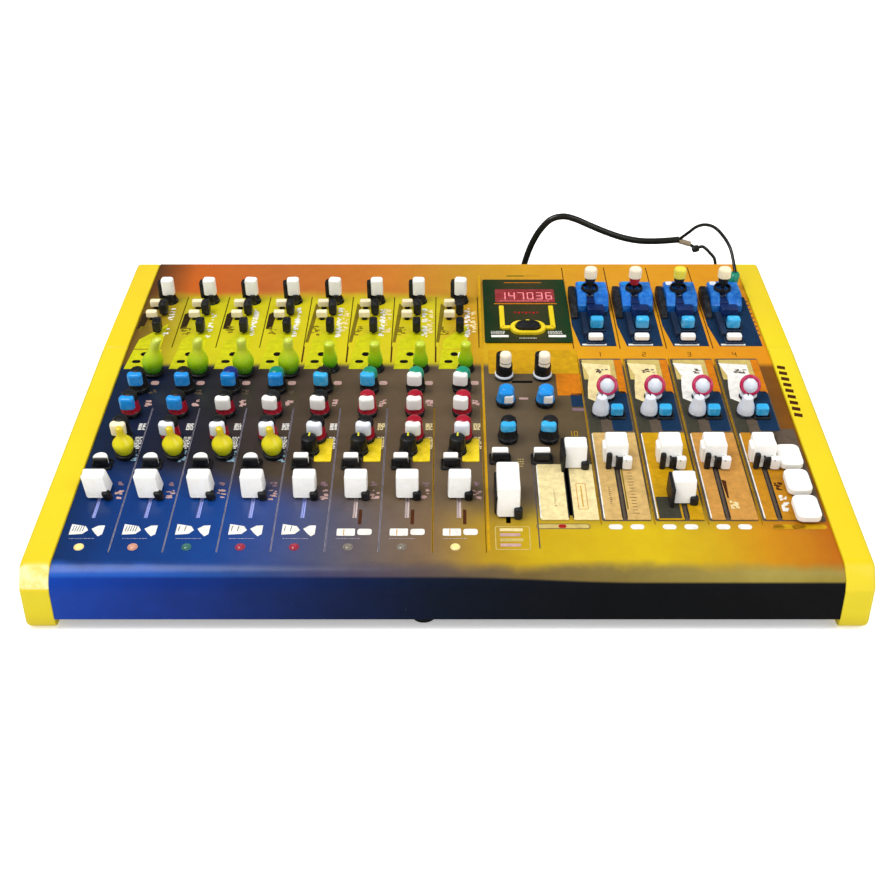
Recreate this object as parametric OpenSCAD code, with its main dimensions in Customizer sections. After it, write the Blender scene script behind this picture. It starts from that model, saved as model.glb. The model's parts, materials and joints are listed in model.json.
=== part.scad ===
// Lighting control desk: a shallow wedge-shaped console with two moulded end cheeks,
// a kinked sheet-metal deck, eight narrow channel strips, two master columns and four
// wider playback columns, each with its own levers, keys, knobs and faders.
// Frame: origin at the centre of the footprint on the resting plane,
// +X to the operator's right, +Y away from the operator, +Z up, millimetres.

/* [Casing] */
// Clear width of the deck between the two end cheeks
deck_w = 396; // [394:1:402]
// Thickness of each end cheek
cheek_t = 15.5; // [12:0.5:18]
// Front-to-back depth of the casing
casing_d = 305; // [303:1:309]
// Height of the deck surface where its slope would meet the front face
front_h = 33.5; // [32:0.5:38]
// Slope of the front part of the deck, in degrees
front_tilt = 9.16; // [8:0.02:10]
// Slope of the rear part of the deck, in degrees
rear_tilt = 7.32; // [6:0.02:8]
// Distance up the front slope to the crease
crease_s = 198; // [196:1:200]
// Radius of the rolled front edge of the deck
roll_r = 14; // [10:1:16]
// Thickness of the sheet metal of the deck and the tray
sheet_t = 1.5; // [1:0.1:1.6]
// How far the cheeks stand above the deck
cheek_lift = 1.5; // [1:0.5:3]
// Underside of the base tray above the resting plane
tray_z = 7; // [6:0.5:8]
// Radius of the nose of each end cheek
nose_r = 13; // [10:1:14]

/* [Strips] */
// Spacing of the eight channel strips
strip_pitch = 27.25; // [27:0.05:27.3]
// Centre of the first channel strip
strip_first_x = -184.65; // [-185:0.05:-184]
// Spacing of the four playback columns
column_pitch = 27.8; // [27.5:0.1:28]
// Centre of the first playback column
column_first_x = 93; // [92:0.5:94]
// Spacing of the four levers behind the playback columns
lever_pitch = 28.8; // [28.5:0.1:29]
// Centre of the first lever
lever_first_x = 92.6; // [92.4:0.1:93]
// Centre of the first master column
master_a_x = 34; // [33:0.5:35]
// Centre of the second master column
master_b_x = 57; // [56:0.5:57]

/* [Knobs] */
// Radius of every rotary control's shaft
shaft_r = 3; // [2.5:0.1:3]
// Height of the underside of a knob above the deck
knob_lift = 1.8; // [1.6:0.1:2.2]

/* [Faders] */
// Travel of a channel fader
channel_travel = 27; // [20:1:27]
// Travel of a playback fader
playback_travel = 60; // [45:1:60]
// Width of a fader handle
handle_w = 12; // [10:0.5:12]
// Length of a channel fader handle
handle_l = 11.5; // [10:0.5:12]
// Height of a channel fader handle above the deck
handle_h = 13; // [11:0.5:14]

/* [Buttons] */
// Travel of every push button
button_travel = 1.5; // [0.5:0.1:1.6]
// Height of the underside of a button cap above the deck
button_lift = 2.2; // [2.1:0.1:2.6]

/* [Hidden] */
$fn = 48;
slack = 0.05;
over = 1;

// Casing outline
front_y = -casing_d / 2;
rear_y = casing_d / 2 - 1.35;
crease_y = front_y + crease_s * cos(front_tilt);
crease_z = front_h + crease_s * sin(front_tilt);
rear_s = crease_s + (rear_y - crease_y) / cos(rear_tilt);
rear_z = crease_z + (rear_s - crease_s) * sin(rear_tilt);
deck_half = deck_w / 2;
cheek_z = 1;
toe_r = 4;
tail_r = 5;
under = -sheet_t - slack;

// Things under the deck
body_depth = 7;
board_h = under - body_depth - slack;
board_t = 1.6;
pot_w = 10;
bushing_r = shaft_r + 0.5;
bushing_top = 1.3;
switch_w = 6;
stem_r = 1.5;
stem_gap = 0.4;
small_fn = 24;
pot_floor = 2;
bore_l = 5.2;
shaft_gap = 0.02;
skirt_rim = 0.5;
skirt_h = 1.6;
pointer_w = 1.2;
pointer_h = 0.5;

// Rows of the channel strips: [distance up the slope, offset from the strip's centre,
// radius at the foot, radius at the top, height above the deck]
trim_row = [256.5, 2.5, 4.6, 4.2, 17];
lime_tall_row = [172, 8, 6.2, 3, 26];
lime_short_row = [177, 5, 4.6, 3.4, 20];
blue_row = [155.5, 2.5, 5.4, 5, 15];
cyan_row = [132.3, 2.5, 5.4, 5, 15];
white_row = [108.5, 2.5, 5.4, 5, 15];
yellow_tall_row = [94.5, 6.7, 5.6, 3, 20];
yellow_short_row = [97.5, -0.5, 4.4, 4.2, 11];
short_from = 5;
strips = 8;

// Rows of the master and playback columns
master_cap_row = [168.5, 0, 5, 4.6, 18.5];
master_blue_row = [142, 0, 5.6, 5, 12];
master_light_row = [108.5, 0, 5.6, 5, 15];
ring_row = [148.5, 0.2, 6, 5.4, 14.5];
pale_row = [132, -4.6, 4.6, 4.2, 13];
columns = 4;

// Buttons: [distance up the slope, offset, width, length, height above the deck]
flash_key = [86, -4.2, 8, 6, 7];
black_key_back = [240.5, 1.8, 5, 8, 9];
black_key_front = [218.5, 1.8, 5, 8, 9];
cream_key_back = [248, -4.8, 7, 4, 6];
cream_key_front = [234.5, -4.8, 7, 4, 6];
master_key = [90.5, -5, 9, 6, 7];
blue_key = [130.5, 4.4, 7, 5.5, 7];
cyan_key = [222.5, 2, 8, 6, 8];
white_key = [207.5, 0, 9, 5, 5];
page_key_size = [0, 0, 13, 18, 5.5];
nav_key_size = [0, 0, 15, 9, 5];
page_key_x = 187.2;
page_key_s = [46.4, 67.6, 88.9];

// Faders: [x offset, distance up the slope at rest, travel down, travel up,
// handle length, handle height, handle's offset from its blade]
channel_fader = [0, 63, channel_travel - 10.5, 10.5, handle_l, handle_h, 0];
master_a_fader = [-2.2, 55.4, 13, 17, 26, 18, 0];
master_b_fader = [7.6, 88.3, 40, 8, 12.5, 14, 5.4];
playback_fader = [0, 91, playback_travel - 14, 14, 16, 14, 0];
split_upper_fader = [0, 91, 8, 14, 16, 14, 0];
split_lower_fader = [4, 59.5, 14, 8, 13, 14, 0];
playback_dx = [-0.5, 1, -2.5, -3.5];
split_column = 1;
upper_first = 11;
slot_w = 2.4;
blade_w = 1.6;
blade_l = 5;
track_w = 9;
track_wall = 1;
slot_end = 1;
track_end = 3;
run_gap = 0.4;
handle_lift = 2.6;
handle_r = 2;
scoop_r = 15;
scoop = 1;
card_t = 0.6;
card_front_s = 41;
card_l = 73;
card_w = 24;
last_card_w = 18;
master_card_l = 45;
page_key_r = 3.5;
lamp_s = 21;
lamp_dx = -2;
lamp_r = 2.4;
lamp_sink = 1.4;

// Display
display_x = 51;
display_w = 55;
display_s = 244.5;
display_l = 79;
display_t = 1;
digits_w = 40;
digits_l = 20;
digits_s = 262;
digits = 6;
module_rim = 3;
nav_s = 220.5;
hole_gap = 0.4;
ring_w = 23;
ring_l = 15;
ring_h = 2;
ring_r = 7;
nav_r = 4.5;
upright_x = 16;
upright_w = 3.4;
upright_l = 28;
upright_h = 1.2;
arm_x = 12.8;
arm_l = 6;
digit_pitch = 6.4;
digit_w = 6;

// Lever blocks: a tall body behind, a lower nose, a black flank and a low leg beside the keys
block_w = 20;
block_dx = 1.6;
block_l = 29;
block_s = 251.5;
block_h = 10;
nose_w = 14;
nose_l = 8;
nose_h = 6;
flank_w = 4.6;
flank_l = 32;
flank_h = 7;
flank_s = 250;
leg_w = 4;
leg_l = 26.5;
leg_h = 4;
leg_dx = -5.4;
leg_s = 224.25;
lever_s = 255;
pivot_h = 4.5;
pivot_r = 2.4;
pivot_w = 8;
lever_top = 26;
lever_stem_r = 1.7;
lever_cap_r = 4.6;
lever_neck_r = 2.6;
lever_neck_h = 5;
lever_hole_r = 5;
well_l = 6.8;
collar_r = 5.6;
collar_h = 2.4;
collar_wall = 1.2;

// Rear panel
flange_t = 2;
flange_r = 2.5;
inlet_body_r = 5.5;
inlet_flange = 14;
jack_body_r = 4.5;
jack_bore_r = 3.2;
jack_flange = 12;
rocker_wall = 1;
rocker_gap = 0.3;
rocker_depth = 12;
rocker_rim = 5;
rocker_rim_t = 1.4;
rocker_hub_r = 4;
rocker_top = 3;
socket_z = 42;
socket_x = [-150, -114, 54];
socket_bore_r = 9.6;
socket_bore_l = 12;
socket_body_r = 11.4;
flange_w = 26;
flange_h = 31;
inlet_x = -66;
inlet_z = 38;
inlet_bore_r = 3.2;
inlet_bore_l = 9;
rocker_x = -34;
rocker_z = 38;
rocker_w = 11;
rocker_h = 17;
jack_x = 186;
jack_z = 44;

// Feet, screws and boards
foot_r = 9;
foot_x = 172;
foot_y = 126;
front_foot_x = -12;
front_foot_inset = 12;
front_foot_r = 7;
post_x = [-60, 60];
post_y = [-20, 70];
post_r = 3;
post_h = 6;
board_gap = 6;
front_board_l = 184;
rear_board_l = 86;
main_w = 148;
main_l = 116;
main_y = -32;
chip_x = [-50, -14, 22];
chip_y = 0;
chip_w = 20;
chip_h = 2.2;
supply_x = -60;
supply_y = 40;
supply_size = [34, 26, 14];
can_x = [10, 26, 42];
can_y = 56;
can_r = 5;
can_h = 12;
well_depth = 4;
head_gap = 0.3;
cross_l = 3.2;
cross_w = 0.7;
cross_depth = 0.8;
rear_screw_l = 5;
screw_r = 1.5;
screw_head_r = 2.9;
screw_head_h = 1.6;
cheek_screw_y = [-110, 0, 110];
cheek_screw_z = 20;
rear_screw_x = [-188, -92, 0, 92, 188];
rear_screw_z = 16;

// Cable and its plugs
cable_main_r = 2.2;
cable_thin_r = 1.1;
cable_fn = 10;
cable_y = rear_y + 31;
cable_join = [164.3, cable_y, 85.5];
data_plug_r = 8.8;
data_plug_l = 16;
boot_r = 6;
boot_l = 9;
jack_plug_r = 4;
jack_plug_l = 13;
plug_x = 186.5;
plug_s = 272;
plug_pin_r = 2.9;
plug_r = 4.4;
plug_l = 12;
cable_main = [
    [socket_x[2], rear_y + 24, socket_z], [socket_x[2], rear_y + 30, 50], [54.2, cable_y, 62],
    [57.2, cable_y, 74.6], [61.4, cable_y, 85.4], [66.7, cable_y, 94.2], [73.2, cable_y, 100.5],
    [81.5, cable_y, 102.5], [90, cable_y, 100.5], [100.3, cable_y, 96], [111.9, cable_y, 91.1],
    [123.5, cable_y, 87.1], [135, cable_y, 84.7], [146.3, cable_y, 84.2], cable_join
];
cable_drop = [
    cable_join, [171, cable_y, 82.5], [176.5, cable_y - 1, 79.8], [181.4, cable_y - 2, 80.8],
    [186.8, cable_y - 3, 76.4], [190.3, cable_y - 5, 71.7], [191, cable_y - 7, 60],
    [188, rear_y + 18, 48], [jack_x, rear_y + 15, jack_z]
];
cable_branch = [
    cable_join, [169.6, cable_y - 5, 92.5], [173.2, cable_y - 12, 99.1], [177, cable_y - 22, 104.2],
    [181.3, cable_y - 33, 106], [185.3, cable_y - 44, 103.7], [188.3, cable_y - 53, 99.3],
    [189.8, cable_y - 60, 92.9], [plug_x, deck_y(plug_s) - 1.4, deck_z(plug_s) + plug_l]
];

function deck_y(s) = s <= crease_s
    ? front_y + s * cos(front_tilt)
    : crease_y + (s - crease_s) * cos(rear_tilt);
function deck_z(s) = s <= crease_s
    ? front_h + s * sin(front_tilt)
    : crease_z + (s - crease_s) * sin(rear_tilt);
function deck_tilt(s) = s <= crease_s ? front_tilt : rear_tilt;
function strip_x(i) = strip_first_x + strip_pitch * (i - 1);
function column_x(j) = column_first_x + column_pitch * j;
function lever_x(j) = lever_first_x + lever_pitch * j;
function lime_row(i) = i < short_from ? lime_tall_row : lime_short_row;
function yellow_row(i) = i < short_from ? yellow_tall_row : yellow_short_row;
function strip_rows(i) = [trim_row, lime_row(i), blue_row, cyan_row, white_row, yellow_row(i)];

// Height of the roll's centre: the roll is tangent to the front face and to the slope
function roll_z() = front_h - roll_r * (1 - sin(front_tilt)) / cos(front_tilt);

// Places its children on the deck at x, a distance s up the slope
module on_deck(x, s, h = 0) {
    translate([x, deck_y(s), deck_z(s)])
        rotate([deck_tilt(s), 0, 0])
            translate([0, 0, h])
                children();
}

module each_strip_knob() {
    for (i = [1:strips])
        for (row = strip_rows(i))
            on_deck(strip_x(i) + row[1], row[0]) children();
}

module each_master_knob() {
    for (x = [master_a_x, master_b_x])
        for (row = [master_cap_row, master_blue_row, master_light_row])
            on_deck(x, row[0]) children();
}

module each_column_knob() {
    for (j = [0:columns - 1])
        for (row = [ring_row, pale_row])
            on_deck(column_x(j) + row[1], row[0]) children();
}

module each_knob() {
    each_strip_knob() children();
    each_master_knob() children();
    each_column_knob() children();
}

// Places its children at every push button
module each_button() {
    for (i = [1:strips])
        for (key = [flash_key, black_key_back, black_key_front, cream_key_back, cream_key_front])
            on_deck(strip_x(i) + key[1], key[0]) children();
    for (x = [master_a_x, master_b_x])
        on_deck(x + master_key[1], master_key[0]) children();
    for (j = [0:columns - 1]) {
        on_deck(column_x(j) + blue_key[1], blue_key[0]) children();
        on_deck(lever_x(j) + cyan_key[1], cyan_key[0]) children();
        on_deck(lever_x(j) + white_key[1], white_key[0]) children();
    }
    for (s = page_key_s)
        on_deck(page_key_x, s) children();
    on_deck(display_x, nav_s) children();
}

// Fader number n: [x, entry of the fader table]
function fader_place(n) =
    n <= strips ? [strip_x(n) + channel_fader[0], channel_fader]
    : n == 9 ? [master_a_x + master_a_fader[0], master_a_fader]
    : n == 10 ? [master_b_x + master_b_fader[0], master_b_fader]
    : n == faders ? [column_x(split_column) + split_lower_fader[0], split_lower_fader]
    : n == upper_first + split_column ? [playback_x(n), split_upper_fader]
    : [playback_x(n), playback_fader];
function playback_x(n) = column_x(n - upper_first) + playback_dx[n - upper_first];
faders = 15;

// Slot of one fader, seen from above, in the fader's own frame
module slot_box(f, w, extra, low, high) {
    translate([-w / 2, -f[2] - blade_l / 2 - extra, low])
        cube([w, f[2] + f[3] + blade_l + 2 * extra, high - low]);
}

module rounded_box(w, l, h, r) {
    linear_extrude(height = h)
        rounded_2d(w, l, r);
}

module rounded_2d(w, l, r) {
    square([w - 2 * r, l], center = true);
    square([w, l - 2 * r], center = true);
    for (x = [-1, 1])
        for (y = [-1, 1])
            translate([x * (w / 2 - r), y * (l / 2 - r)])
                circle(r = r, $fn = small_fn);
}

// Filled side outline of the casing, moved inwards by the given amount.
// Drawn with the outline's y along X and its z along Y.
module side_2d(inset) {
    tilt_y = inset * sin(front_tilt);
    tilt_z = inset * cos(front_tilt);
    rear_tilt_z = inset / cos(rear_tilt);
    tangent_y = front_y + roll_r - (roll_r - inset) * sin(front_tilt);
    tangent_z = roll_z() + (roll_r - inset) * cos(front_tilt);
    translate([front_y + roll_r, roll_z()])
        circle(r = roll_r - inset);
    polygon([
        [front_y + inset, tray_z],
        [front_y + inset, roll_z()],
        [front_y + roll_r, roll_z()],
        [tangent_y, tangent_z],
        [crease_y + tilt_y / 2, crease_z - tilt_z],
        [rear_y, rear_z - rear_tilt_z],
        [rear_y, tray_z]
    ]);
}

module along_x(w) {
    rotate([90, 0, 90])
        translate([0, 0, -w / 2])
            linear_extrude(height = w)
                children();
}

module top_panel() {
    color("#4a4440")
        difference() {
            along_x(deck_w - 2 * slack)
                difference() {
                    side_2d(0);
                    side_2d(sheet_t);
                    translate([front_y + sheet_t, tray_z - over])
                        square([casing_d, over + sheet_t]);
                }
            each_knob()
                translate([0, 0, under - over])
                    cylinder(r = bushing_r + 0.2, h = sheet_t + 2 * over + slack);
            each_button()
                translate([0, 0, under - over])
                    cylinder(r = stem_r + stem_gap, h = sheet_t + 2 * over + slack, $fn = small_fn);
            for (n = [1:faders])
                on_deck(fader_place(n)[0], fader_place(n)[1][1])
                    slot_box(fader_place(n)[1], slot_w, slot_end, under - over, over);
            on_deck(display_x, digits_s, under - over)
                linear_extrude(height = sheet_t + 2 * over)
                    square([digits_w, digits_l], center = true);
            for (j = [0:columns - 1])
                on_deck(lever_x(j), lever_s, under - over)
                    cylinder(r = lever_hole_r, h = sheet_t + 2 * over);
            on_deck(plug_x, plug_s, under - over)
                cylinder(r = plug_pin_r + 0.3, h = sheet_t + 2 * over);
        }
}

module base_tray() {
    color("#26262b")
        difference() {
            union() {
                translate([-deck_half + slack, front_y + sheet_t + slack, tray_z])
                    cube([deck_w - 2 * slack, rear_y - front_y - sheet_t - slack, sheet_t]);
                for (side = [-1, 1])
                    translate([side * (deck_half - slack - sheet_t / 2), 0, 0])
                        along_x(sheet_t)
                            side_2d(sheet_t + slack);
                intersection() {
                    along_x(deck_w - 2 * slack)
                        side_2d(sheet_t + slack);
                    translate([-deck_half, rear_y - sheet_t, tray_z])
                        cube([deck_w, sheet_t, casing_d]);
                }
                for (x = post_x)
                    for (y = post_y)
                        translate([x, y, tray_z])
                            cylinder(r = post_r, h = post_h);
            }
            for (x = socket_x)
                translate([x, rear_y + over, socket_z])
                    rotate([90, 0, 0])
                        cylinder(r = socket_body_r + slack, h = 2 * over + sheet_t);
            translate([inlet_x, rear_y + over, inlet_z])
                rotate([90, 0, 0])
                    cylinder(r = inlet_body_r + slack, h = 2 * over + sheet_t);
            translate([jack_x, rear_y + over, jack_z])
                rotate([90, 0, 0])
                    cylinder(r = jack_body_r + slack, h = 2 * over + sheet_t);
            translate([rocker_x, rear_y, rocker_z])
                cube([rocker_w + 2 * rocker_wall, 4 * over, rocker_h + 2 * rocker_wall], center = true);
            for (x = rear_screw_x)
                translate([x, rear_y + over, rear_screw_z])
                    rotate([90, 0, 0])
                        cylinder(r = screw_r + slack, h = 2 * over + sheet_t, $fn = small_fn);
            for (side = [-1, 1])
                for (y = cheek_screw_y)
                    translate([side * (deck_half - sheet_t - over), y, cheek_screw_z])
                        rotate([0, side * 90, 0])
                            cylinder(r = screw_r + slack, h = 2 * over + sheet_t, $fn = small_fn);
        }
}

// Side outline of an end cheek: rounded nose, two slopes and a rounded rear top corner
module cheek_2d() {
    lift = cheek_lift / cos(front_tilt);
    nose_z = front_h + lift - nose_r * (1 - sin(front_tilt)) / cos(front_tilt);
    back_y = casing_d / 2;
    back_z = rear_z + cheek_lift + (back_y - rear_y) * tan(rear_tilt);
    tail_z = back_z - tail_r * (1 + sin(rear_tilt)) / cos(rear_tilt);
    translate([front_y + nose_r, nose_z])
        circle(r = nose_r);
    translate([front_y + toe_r, cheek_z + toe_r])
        circle(r = toe_r);
    translate([back_y - tail_r, tail_z])
        circle(r = tail_r);
    polygon([
        [front_y, nose_z],
        [front_y + nose_r, nose_z],
        [front_y + nose_r * (1 - sin(front_tilt)), nose_z + nose_r * cos(front_tilt)],
        [crease_y, crease_z + lift],
        [back_y - tail_r * (1 + sin(rear_tilt)), tail_z + tail_r * cos(rear_tilt)],
        [back_y - tail_r, tail_z],
        [back_y, tail_z],
        [back_y, cheek_z],
        [front_y + toe_r, cheek_z],
        [front_y + toe_r, cheek_z + toe_r],
        [front_y, cheek_z + toe_r]
    ]);
}

module cheek(side) {
    color("#ffe400")
        difference() {
            translate([side * (deck_half + cheek_t / 2), 0, 0])
                along_x(cheek_t)
                    cheek_2d();
            for (y = cheek_screw_y)
                translate([side * (deck_half - over), y, cheek_screw_z])
                    rotate([0, side * 90, 0]) {
                        cylinder(r = screw_r + slack, h = cheek_t + 2 * over, $fn = small_fn);
                        translate([0, 0, over + cheek_t - well_depth])
                            cylinder(r = screw_head_r + head_gap, h = well_depth + over);
                    }
        }
}

module left_cheek() {
    cheek(-1);
}

module right_cheek() {
    cheek(1);
}

module control_board() {
    color("#1f6b3a") {
        on_deck(0, crease_s, board_h - board_t)
            translate([-deck_half + board_gap, board_gap - front_board_l, 0])
                cube([deck_w - 2 * board_gap, front_board_l - 2 * board_gap, board_t]);
        on_deck(0, crease_s + 1, board_h - board_t)
            translate([-deck_half + board_gap, board_gap, 0])
                cube([deck_w - 2 * board_gap, rear_board_l, board_t]);
    }
}

module main_board() {
    top_z = tray_z + post_h + board_t + slack;
    color("#1f6b3a")
        translate([-main_w / 2, main_y, tray_z + post_h])
            cube([main_w, main_l, board_t]);
    color("#202020") {
        for (x = chip_x)
            translate([x, chip_y, top_z])
                cube([chip_w, chip_w, chip_h]);
        translate([supply_x, supply_y, top_z])
            cube(supply_size);
        for (x = can_x)
            translate([x, can_y, top_z])
                cylinder(r = can_r, h = can_h);
    }
}

module fader_tracks() {
    color("#8d9196")
        for (n = [1:faders])
            on_deck(fader_place(n)[0], fader_place(n)[1][1])
                difference() {
                    slot_box(fader_place(n)[1], track_w, track_end, under - body_depth, under);
                    slot_box(fader_place(n)[1], track_w - 2 * track_wall, track_end - track_wall,
                        under - body_depth + track_wall, under - track_wall);
                    slot_box(fader_place(n)[1], slot_w, slot_end, under - track_wall - over, under + over);
                }
}

module pot_bodies() {
    color("#6f757c")
        each_knob()
            difference() {
                union() {
                    translate([-pot_w / 2, -pot_w / 2, under - body_depth])
                        cube([pot_w, pot_w, body_depth]);
                    translate([0, 0, under - over])
                        cylinder(r = bushing_r, h = bushing_top - under + over);
                }
                translate([0, 0, under - body_depth + pot_floor])
                    cylinder(r = shaft_r + slack, h = body_depth + 2 * sheet_t + over);
            }
}

module switch_bodies() {
    color("#303236")
        each_button()
            difference() {
                translate([-switch_w / 2, -switch_w / 2, under - body_depth])
                    cube([switch_w, switch_w, body_depth]);
                translate([0, 0, under - body_depth + over])
                    cylinder(r = stem_r + 2 * slack, h = body_depth, $fn = small_fn);
            }
}

module display_module() {
    color("#222222")
        on_deck(display_x, digits_s, under - body_depth)
            translate([-digits_w / 2 - module_rim, -digits_l / 2 - module_rim, 0])
                cube([digits_w + 2 * module_rim, digits_l + 2 * module_rim, body_depth]);
    color("#b5202a")
        on_deck(display_x, digits_s, under + slack)
            for (k = [0:digits - 1])
                translate([-digits_w / 2 + over + k * digit_pitch, -digits_l / 2 + over, 0])
                    cube([digit_w, digits_l - 2 * over, sheet_t - 4 * slack]);
}

module display_window() {
    color("#1c2f1c")
        on_deck(display_x, display_s, slack)
            difference() {
                rounded_box(display_w, display_l, display_t, 1.5);
                translate([0, nav_s - display_s, -over])
                    nav_hole(display_t + 2 * over);
            }
    color("#f2f014")
        on_deck(display_x, nav_s, display_t + 2 * slack) {
            difference() {
                rounded_box(ring_w, ring_l, ring_h, ring_r);
                translate([0, 0, -over])
                    nav_hole(ring_h + 2 * over);
            }
            for (side = [-1, 1]) {
                translate([side * upright_x - upright_w / 2, 0, 0])
                    cube([upright_w, upright_l, upright_h]);
                translate([side * arm_x - arm_l / 2, -upright_w / 2, 0])
                    cube([arm_l, upright_w, upright_h]);
            }
        }
}

module nav_hole(h) {
    rounded_box(nav_key_size[2] + 2 * hole_gap, nav_key_size[3] + 2 * hole_gap, h, nav_r);
}

// Printed cards under the playback faders and the second master fader
module fader_plates() {
    color("#f0dfae") {
        difference() {
            on_deck(master_b_x + 7, card_front_s, slack)
                translate([-15, 0, 0])
                    cube([30, master_card_l, card_t]);
            fader_card_cuts();
        }
        for (j = [0:columns - 1])
            difference() {
                on_deck(column_x(j) - 11, card_front_s, slack)
                    cube([j == columns - 1 ? last_card_w : card_w, card_l, card_t]);
                fader_card_cuts();
            }
    }
}

module fader_card_cuts() {
    for (n = [10:faders])
        on_deck(fader_place(n)[0], fader_place(n)[1][1])
            slot_box(fader_place(n)[1], slot_w, slot_end, -over, over);
}

module lever_blocks() {
    for (j = [0:columns - 1])
        on_deck(lever_x(j), block_s, slack) {
            color("#0f5fc4")
                difference() {
                    union() {
                        translate([block_dx - block_w / 2, nose_l - block_l / 2, 0])
                            cube([block_w, block_l - nose_l, block_h]);
                        translate([block_dx - nose_w / 2, -block_l / 2, 0])
                            cube([nose_w, nose_l + over, nose_h]);
                    }
                    translate([0, lever_s - block_s, pivot_h - slack])
                        rotate([0, 90, 0])
                            cylinder(r = pivot_r + slack, h = pivot_w + 8 * slack, center = true);
                    translate([-lever_stem_r - 6 * slack, lever_s - block_s - well_l / 2, pivot_h])
                        cube([2 * lever_stem_r + 12 * slack, well_l, block_h]);
                }
            color("#111111") {
                translate([0, lever_s - block_s, block_h + slack])
                    difference() {
                        cylinder(r = collar_r, h = collar_h);
                        translate([0, 0, -over])
                            cylinder(r = collar_r - collar_wall, h = collar_h + 2 * over);
                    }
                translate([block_dx - block_w / 2 - flank_w - slack, flank_s - block_s - flank_l / 2, 0])
                    cube([flank_w, flank_l, flank_h]);
            }
            color("#12345c")
                translate([leg_dx - leg_w / 2, leg_s - block_s - leg_l / 2, 0])
                    cube([leg_w, leg_l, leg_h]);
        }
}

module lever(j, stem_color, cap_color) {
    on_deck(lever_x(j), lever_s, slack) {
        color(stem_color) {
            translate([0, 0, pivot_h - slack])
                rotate([0, 90, 0])
                    cylinder(r = pivot_r, h = pivot_w, center = true);
            translate([0, 0, pivot_h])
                cylinder(r = lever_stem_r, h = lever_top - pivot_h - lever_neck_h - over);
        }
        color(cap_color) {
            translate([0, 0, lever_top - lever_cap_r - lever_neck_h + 0.6])
                cylinder(r1 = lever_neck_r, r2 = lever_cap_r - 0.2, h = lever_neck_h);
            translate([0, 0, lever_top - lever_cap_r])
                sphere(r = lever_cap_r);
        }
    }
}

module socket_shell(body_r, bore_r, bore_l, w, h) {
    difference() {
        union() {
            translate([0, 0, -bore_l - flange_t])
                cylinder(r = body_r, h = bore_l + flange_t + over);
            translate([0, 0, slack])
                rounded_box(w, h, flange_t, flange_r);
        }
        translate([0, 0, flange_t + slack - bore_l])
            cylinder(r = bore_r, h = bore_l + over);
    }
}

module rear_face(x, z) {
    translate([x, rear_y, z])
        rotate([-90, 0, 0])
            rotate([0, 0, 180])
                children();
}

module rear_sockets() {
    color("#2a2a2e") {
        for (x = socket_x)
            rear_face(x, socket_z)
                socket_shell(socket_body_r, socket_bore_r, socket_bore_l, flange_w, flange_h);
        rear_face(inlet_x, inlet_z)
            socket_shell(inlet_body_r, inlet_bore_r, inlet_bore_l, inlet_flange, inlet_flange);
        rear_face(jack_x, jack_z)
            socket_shell(jack_body_r, jack_bore_r, inlet_bore_l, jack_flange, jack_flange);
        rear_face(rocker_x, rocker_z)
            difference() {
                union() {
                    translate([0, 0, -rocker_depth])
                        rounded_box(rocker_w + 2 * rocker_wall - slack, rocker_h + 2 * rocker_wall - slack,
                            rocker_depth + 2 * slack, 0.5);
                    translate([0, 0, slack])
                        rounded_box(rocker_w + rocker_rim, rocker_h + rocker_rim, rocker_rim_t, 1);
                }
                translate([0, 0, -rocker_depth + 4])
                    linear_extrude(height = 2 * rocker_depth)
                        square([rocker_w, rocker_h], center = true);
            }
    }
}

module power_rocker() {
    color("#b01818")
        rear_face(rocker_x, rocker_z) {
            rotate([0, 90, 0])
                cylinder(r = rocker_hub_r, h = rocker_w - 2 * rocker_gap, center = true);
            translate([rocker_gap - rocker_w / 2, over - rocker_h / 2, 0])
                cube([rocker_w - 2 * rocker_gap, rocker_h - 2 * over, rocker_top]);
        }
}

module rubber_feet() {
    color("#161616") {
        for (x = [-foot_x, foot_x])
            for (y = [-foot_y, foot_y])
                translate([x, y, 0])
                    cylinder(r1 = foot_r - over, r2 = foot_r, h = tray_z - slack);
        cylinder(r1 = foot_r - over, r2 = foot_r, h = tray_z - slack);
        translate([front_foot_x, front_y + front_foot_inset, 0])
            cylinder(r1 = front_foot_r - over, r2 = front_foot_r, h = tray_z - slack);
    }
}

module screw(length) {
    difference() {
        union() {
            cylinder(r = screw_head_r, h = screw_head_h);
            translate([0, 0, -length])
                cylinder(r = screw_r, h = length + screw_head_h / 2, $fn = small_fn);
        }
        for (size = [[cross_l, cross_w], [cross_w, cross_l]])
            translate([-size[0] / 2, -size[1] / 2, screw_head_h - cross_depth])
                cube([size[0], size[1], over]);
    }
}

module screws() {
    color("#b9bcc0") {
        for (x = rear_screw_x)
            rear_face(x, rear_screw_z)
                translate([0, 0, slack])
                    screw(rear_screw_l);
        for (side = [-1, 1])
            for (y = cheek_screw_y)
                translate([side * (deck_half + cheek_t - well_depth + slack), y, cheek_screw_z])
                    rotate([0, side * 90, 0])
                        screw(cheek_t);
    }
}

module status_lamps() {
    color("#ffe98a")
        for (i = [1:strips])
            on_deck(strip_x(i) + lamp_dx, lamp_s, slack)
                intersection() {
                    translate([0, 0, -lamp_sink])
                        sphere(r = lamp_r);
                    cylinder(r = lamp_r, h = lamp_r);
                }
}

// One end of the main cable sits in a rear socket and the other in the rear jack. A thin
// branch ends in the plug that stands in the deck behind the last lever.
module cable_run(points, r) {
    for (k = [0:len(points) - 2])
        hull()
            for (end = [points[k], points[k + 1]])
                translate(end)
                    sphere(r = r, $fn = cable_fn);
}

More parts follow.
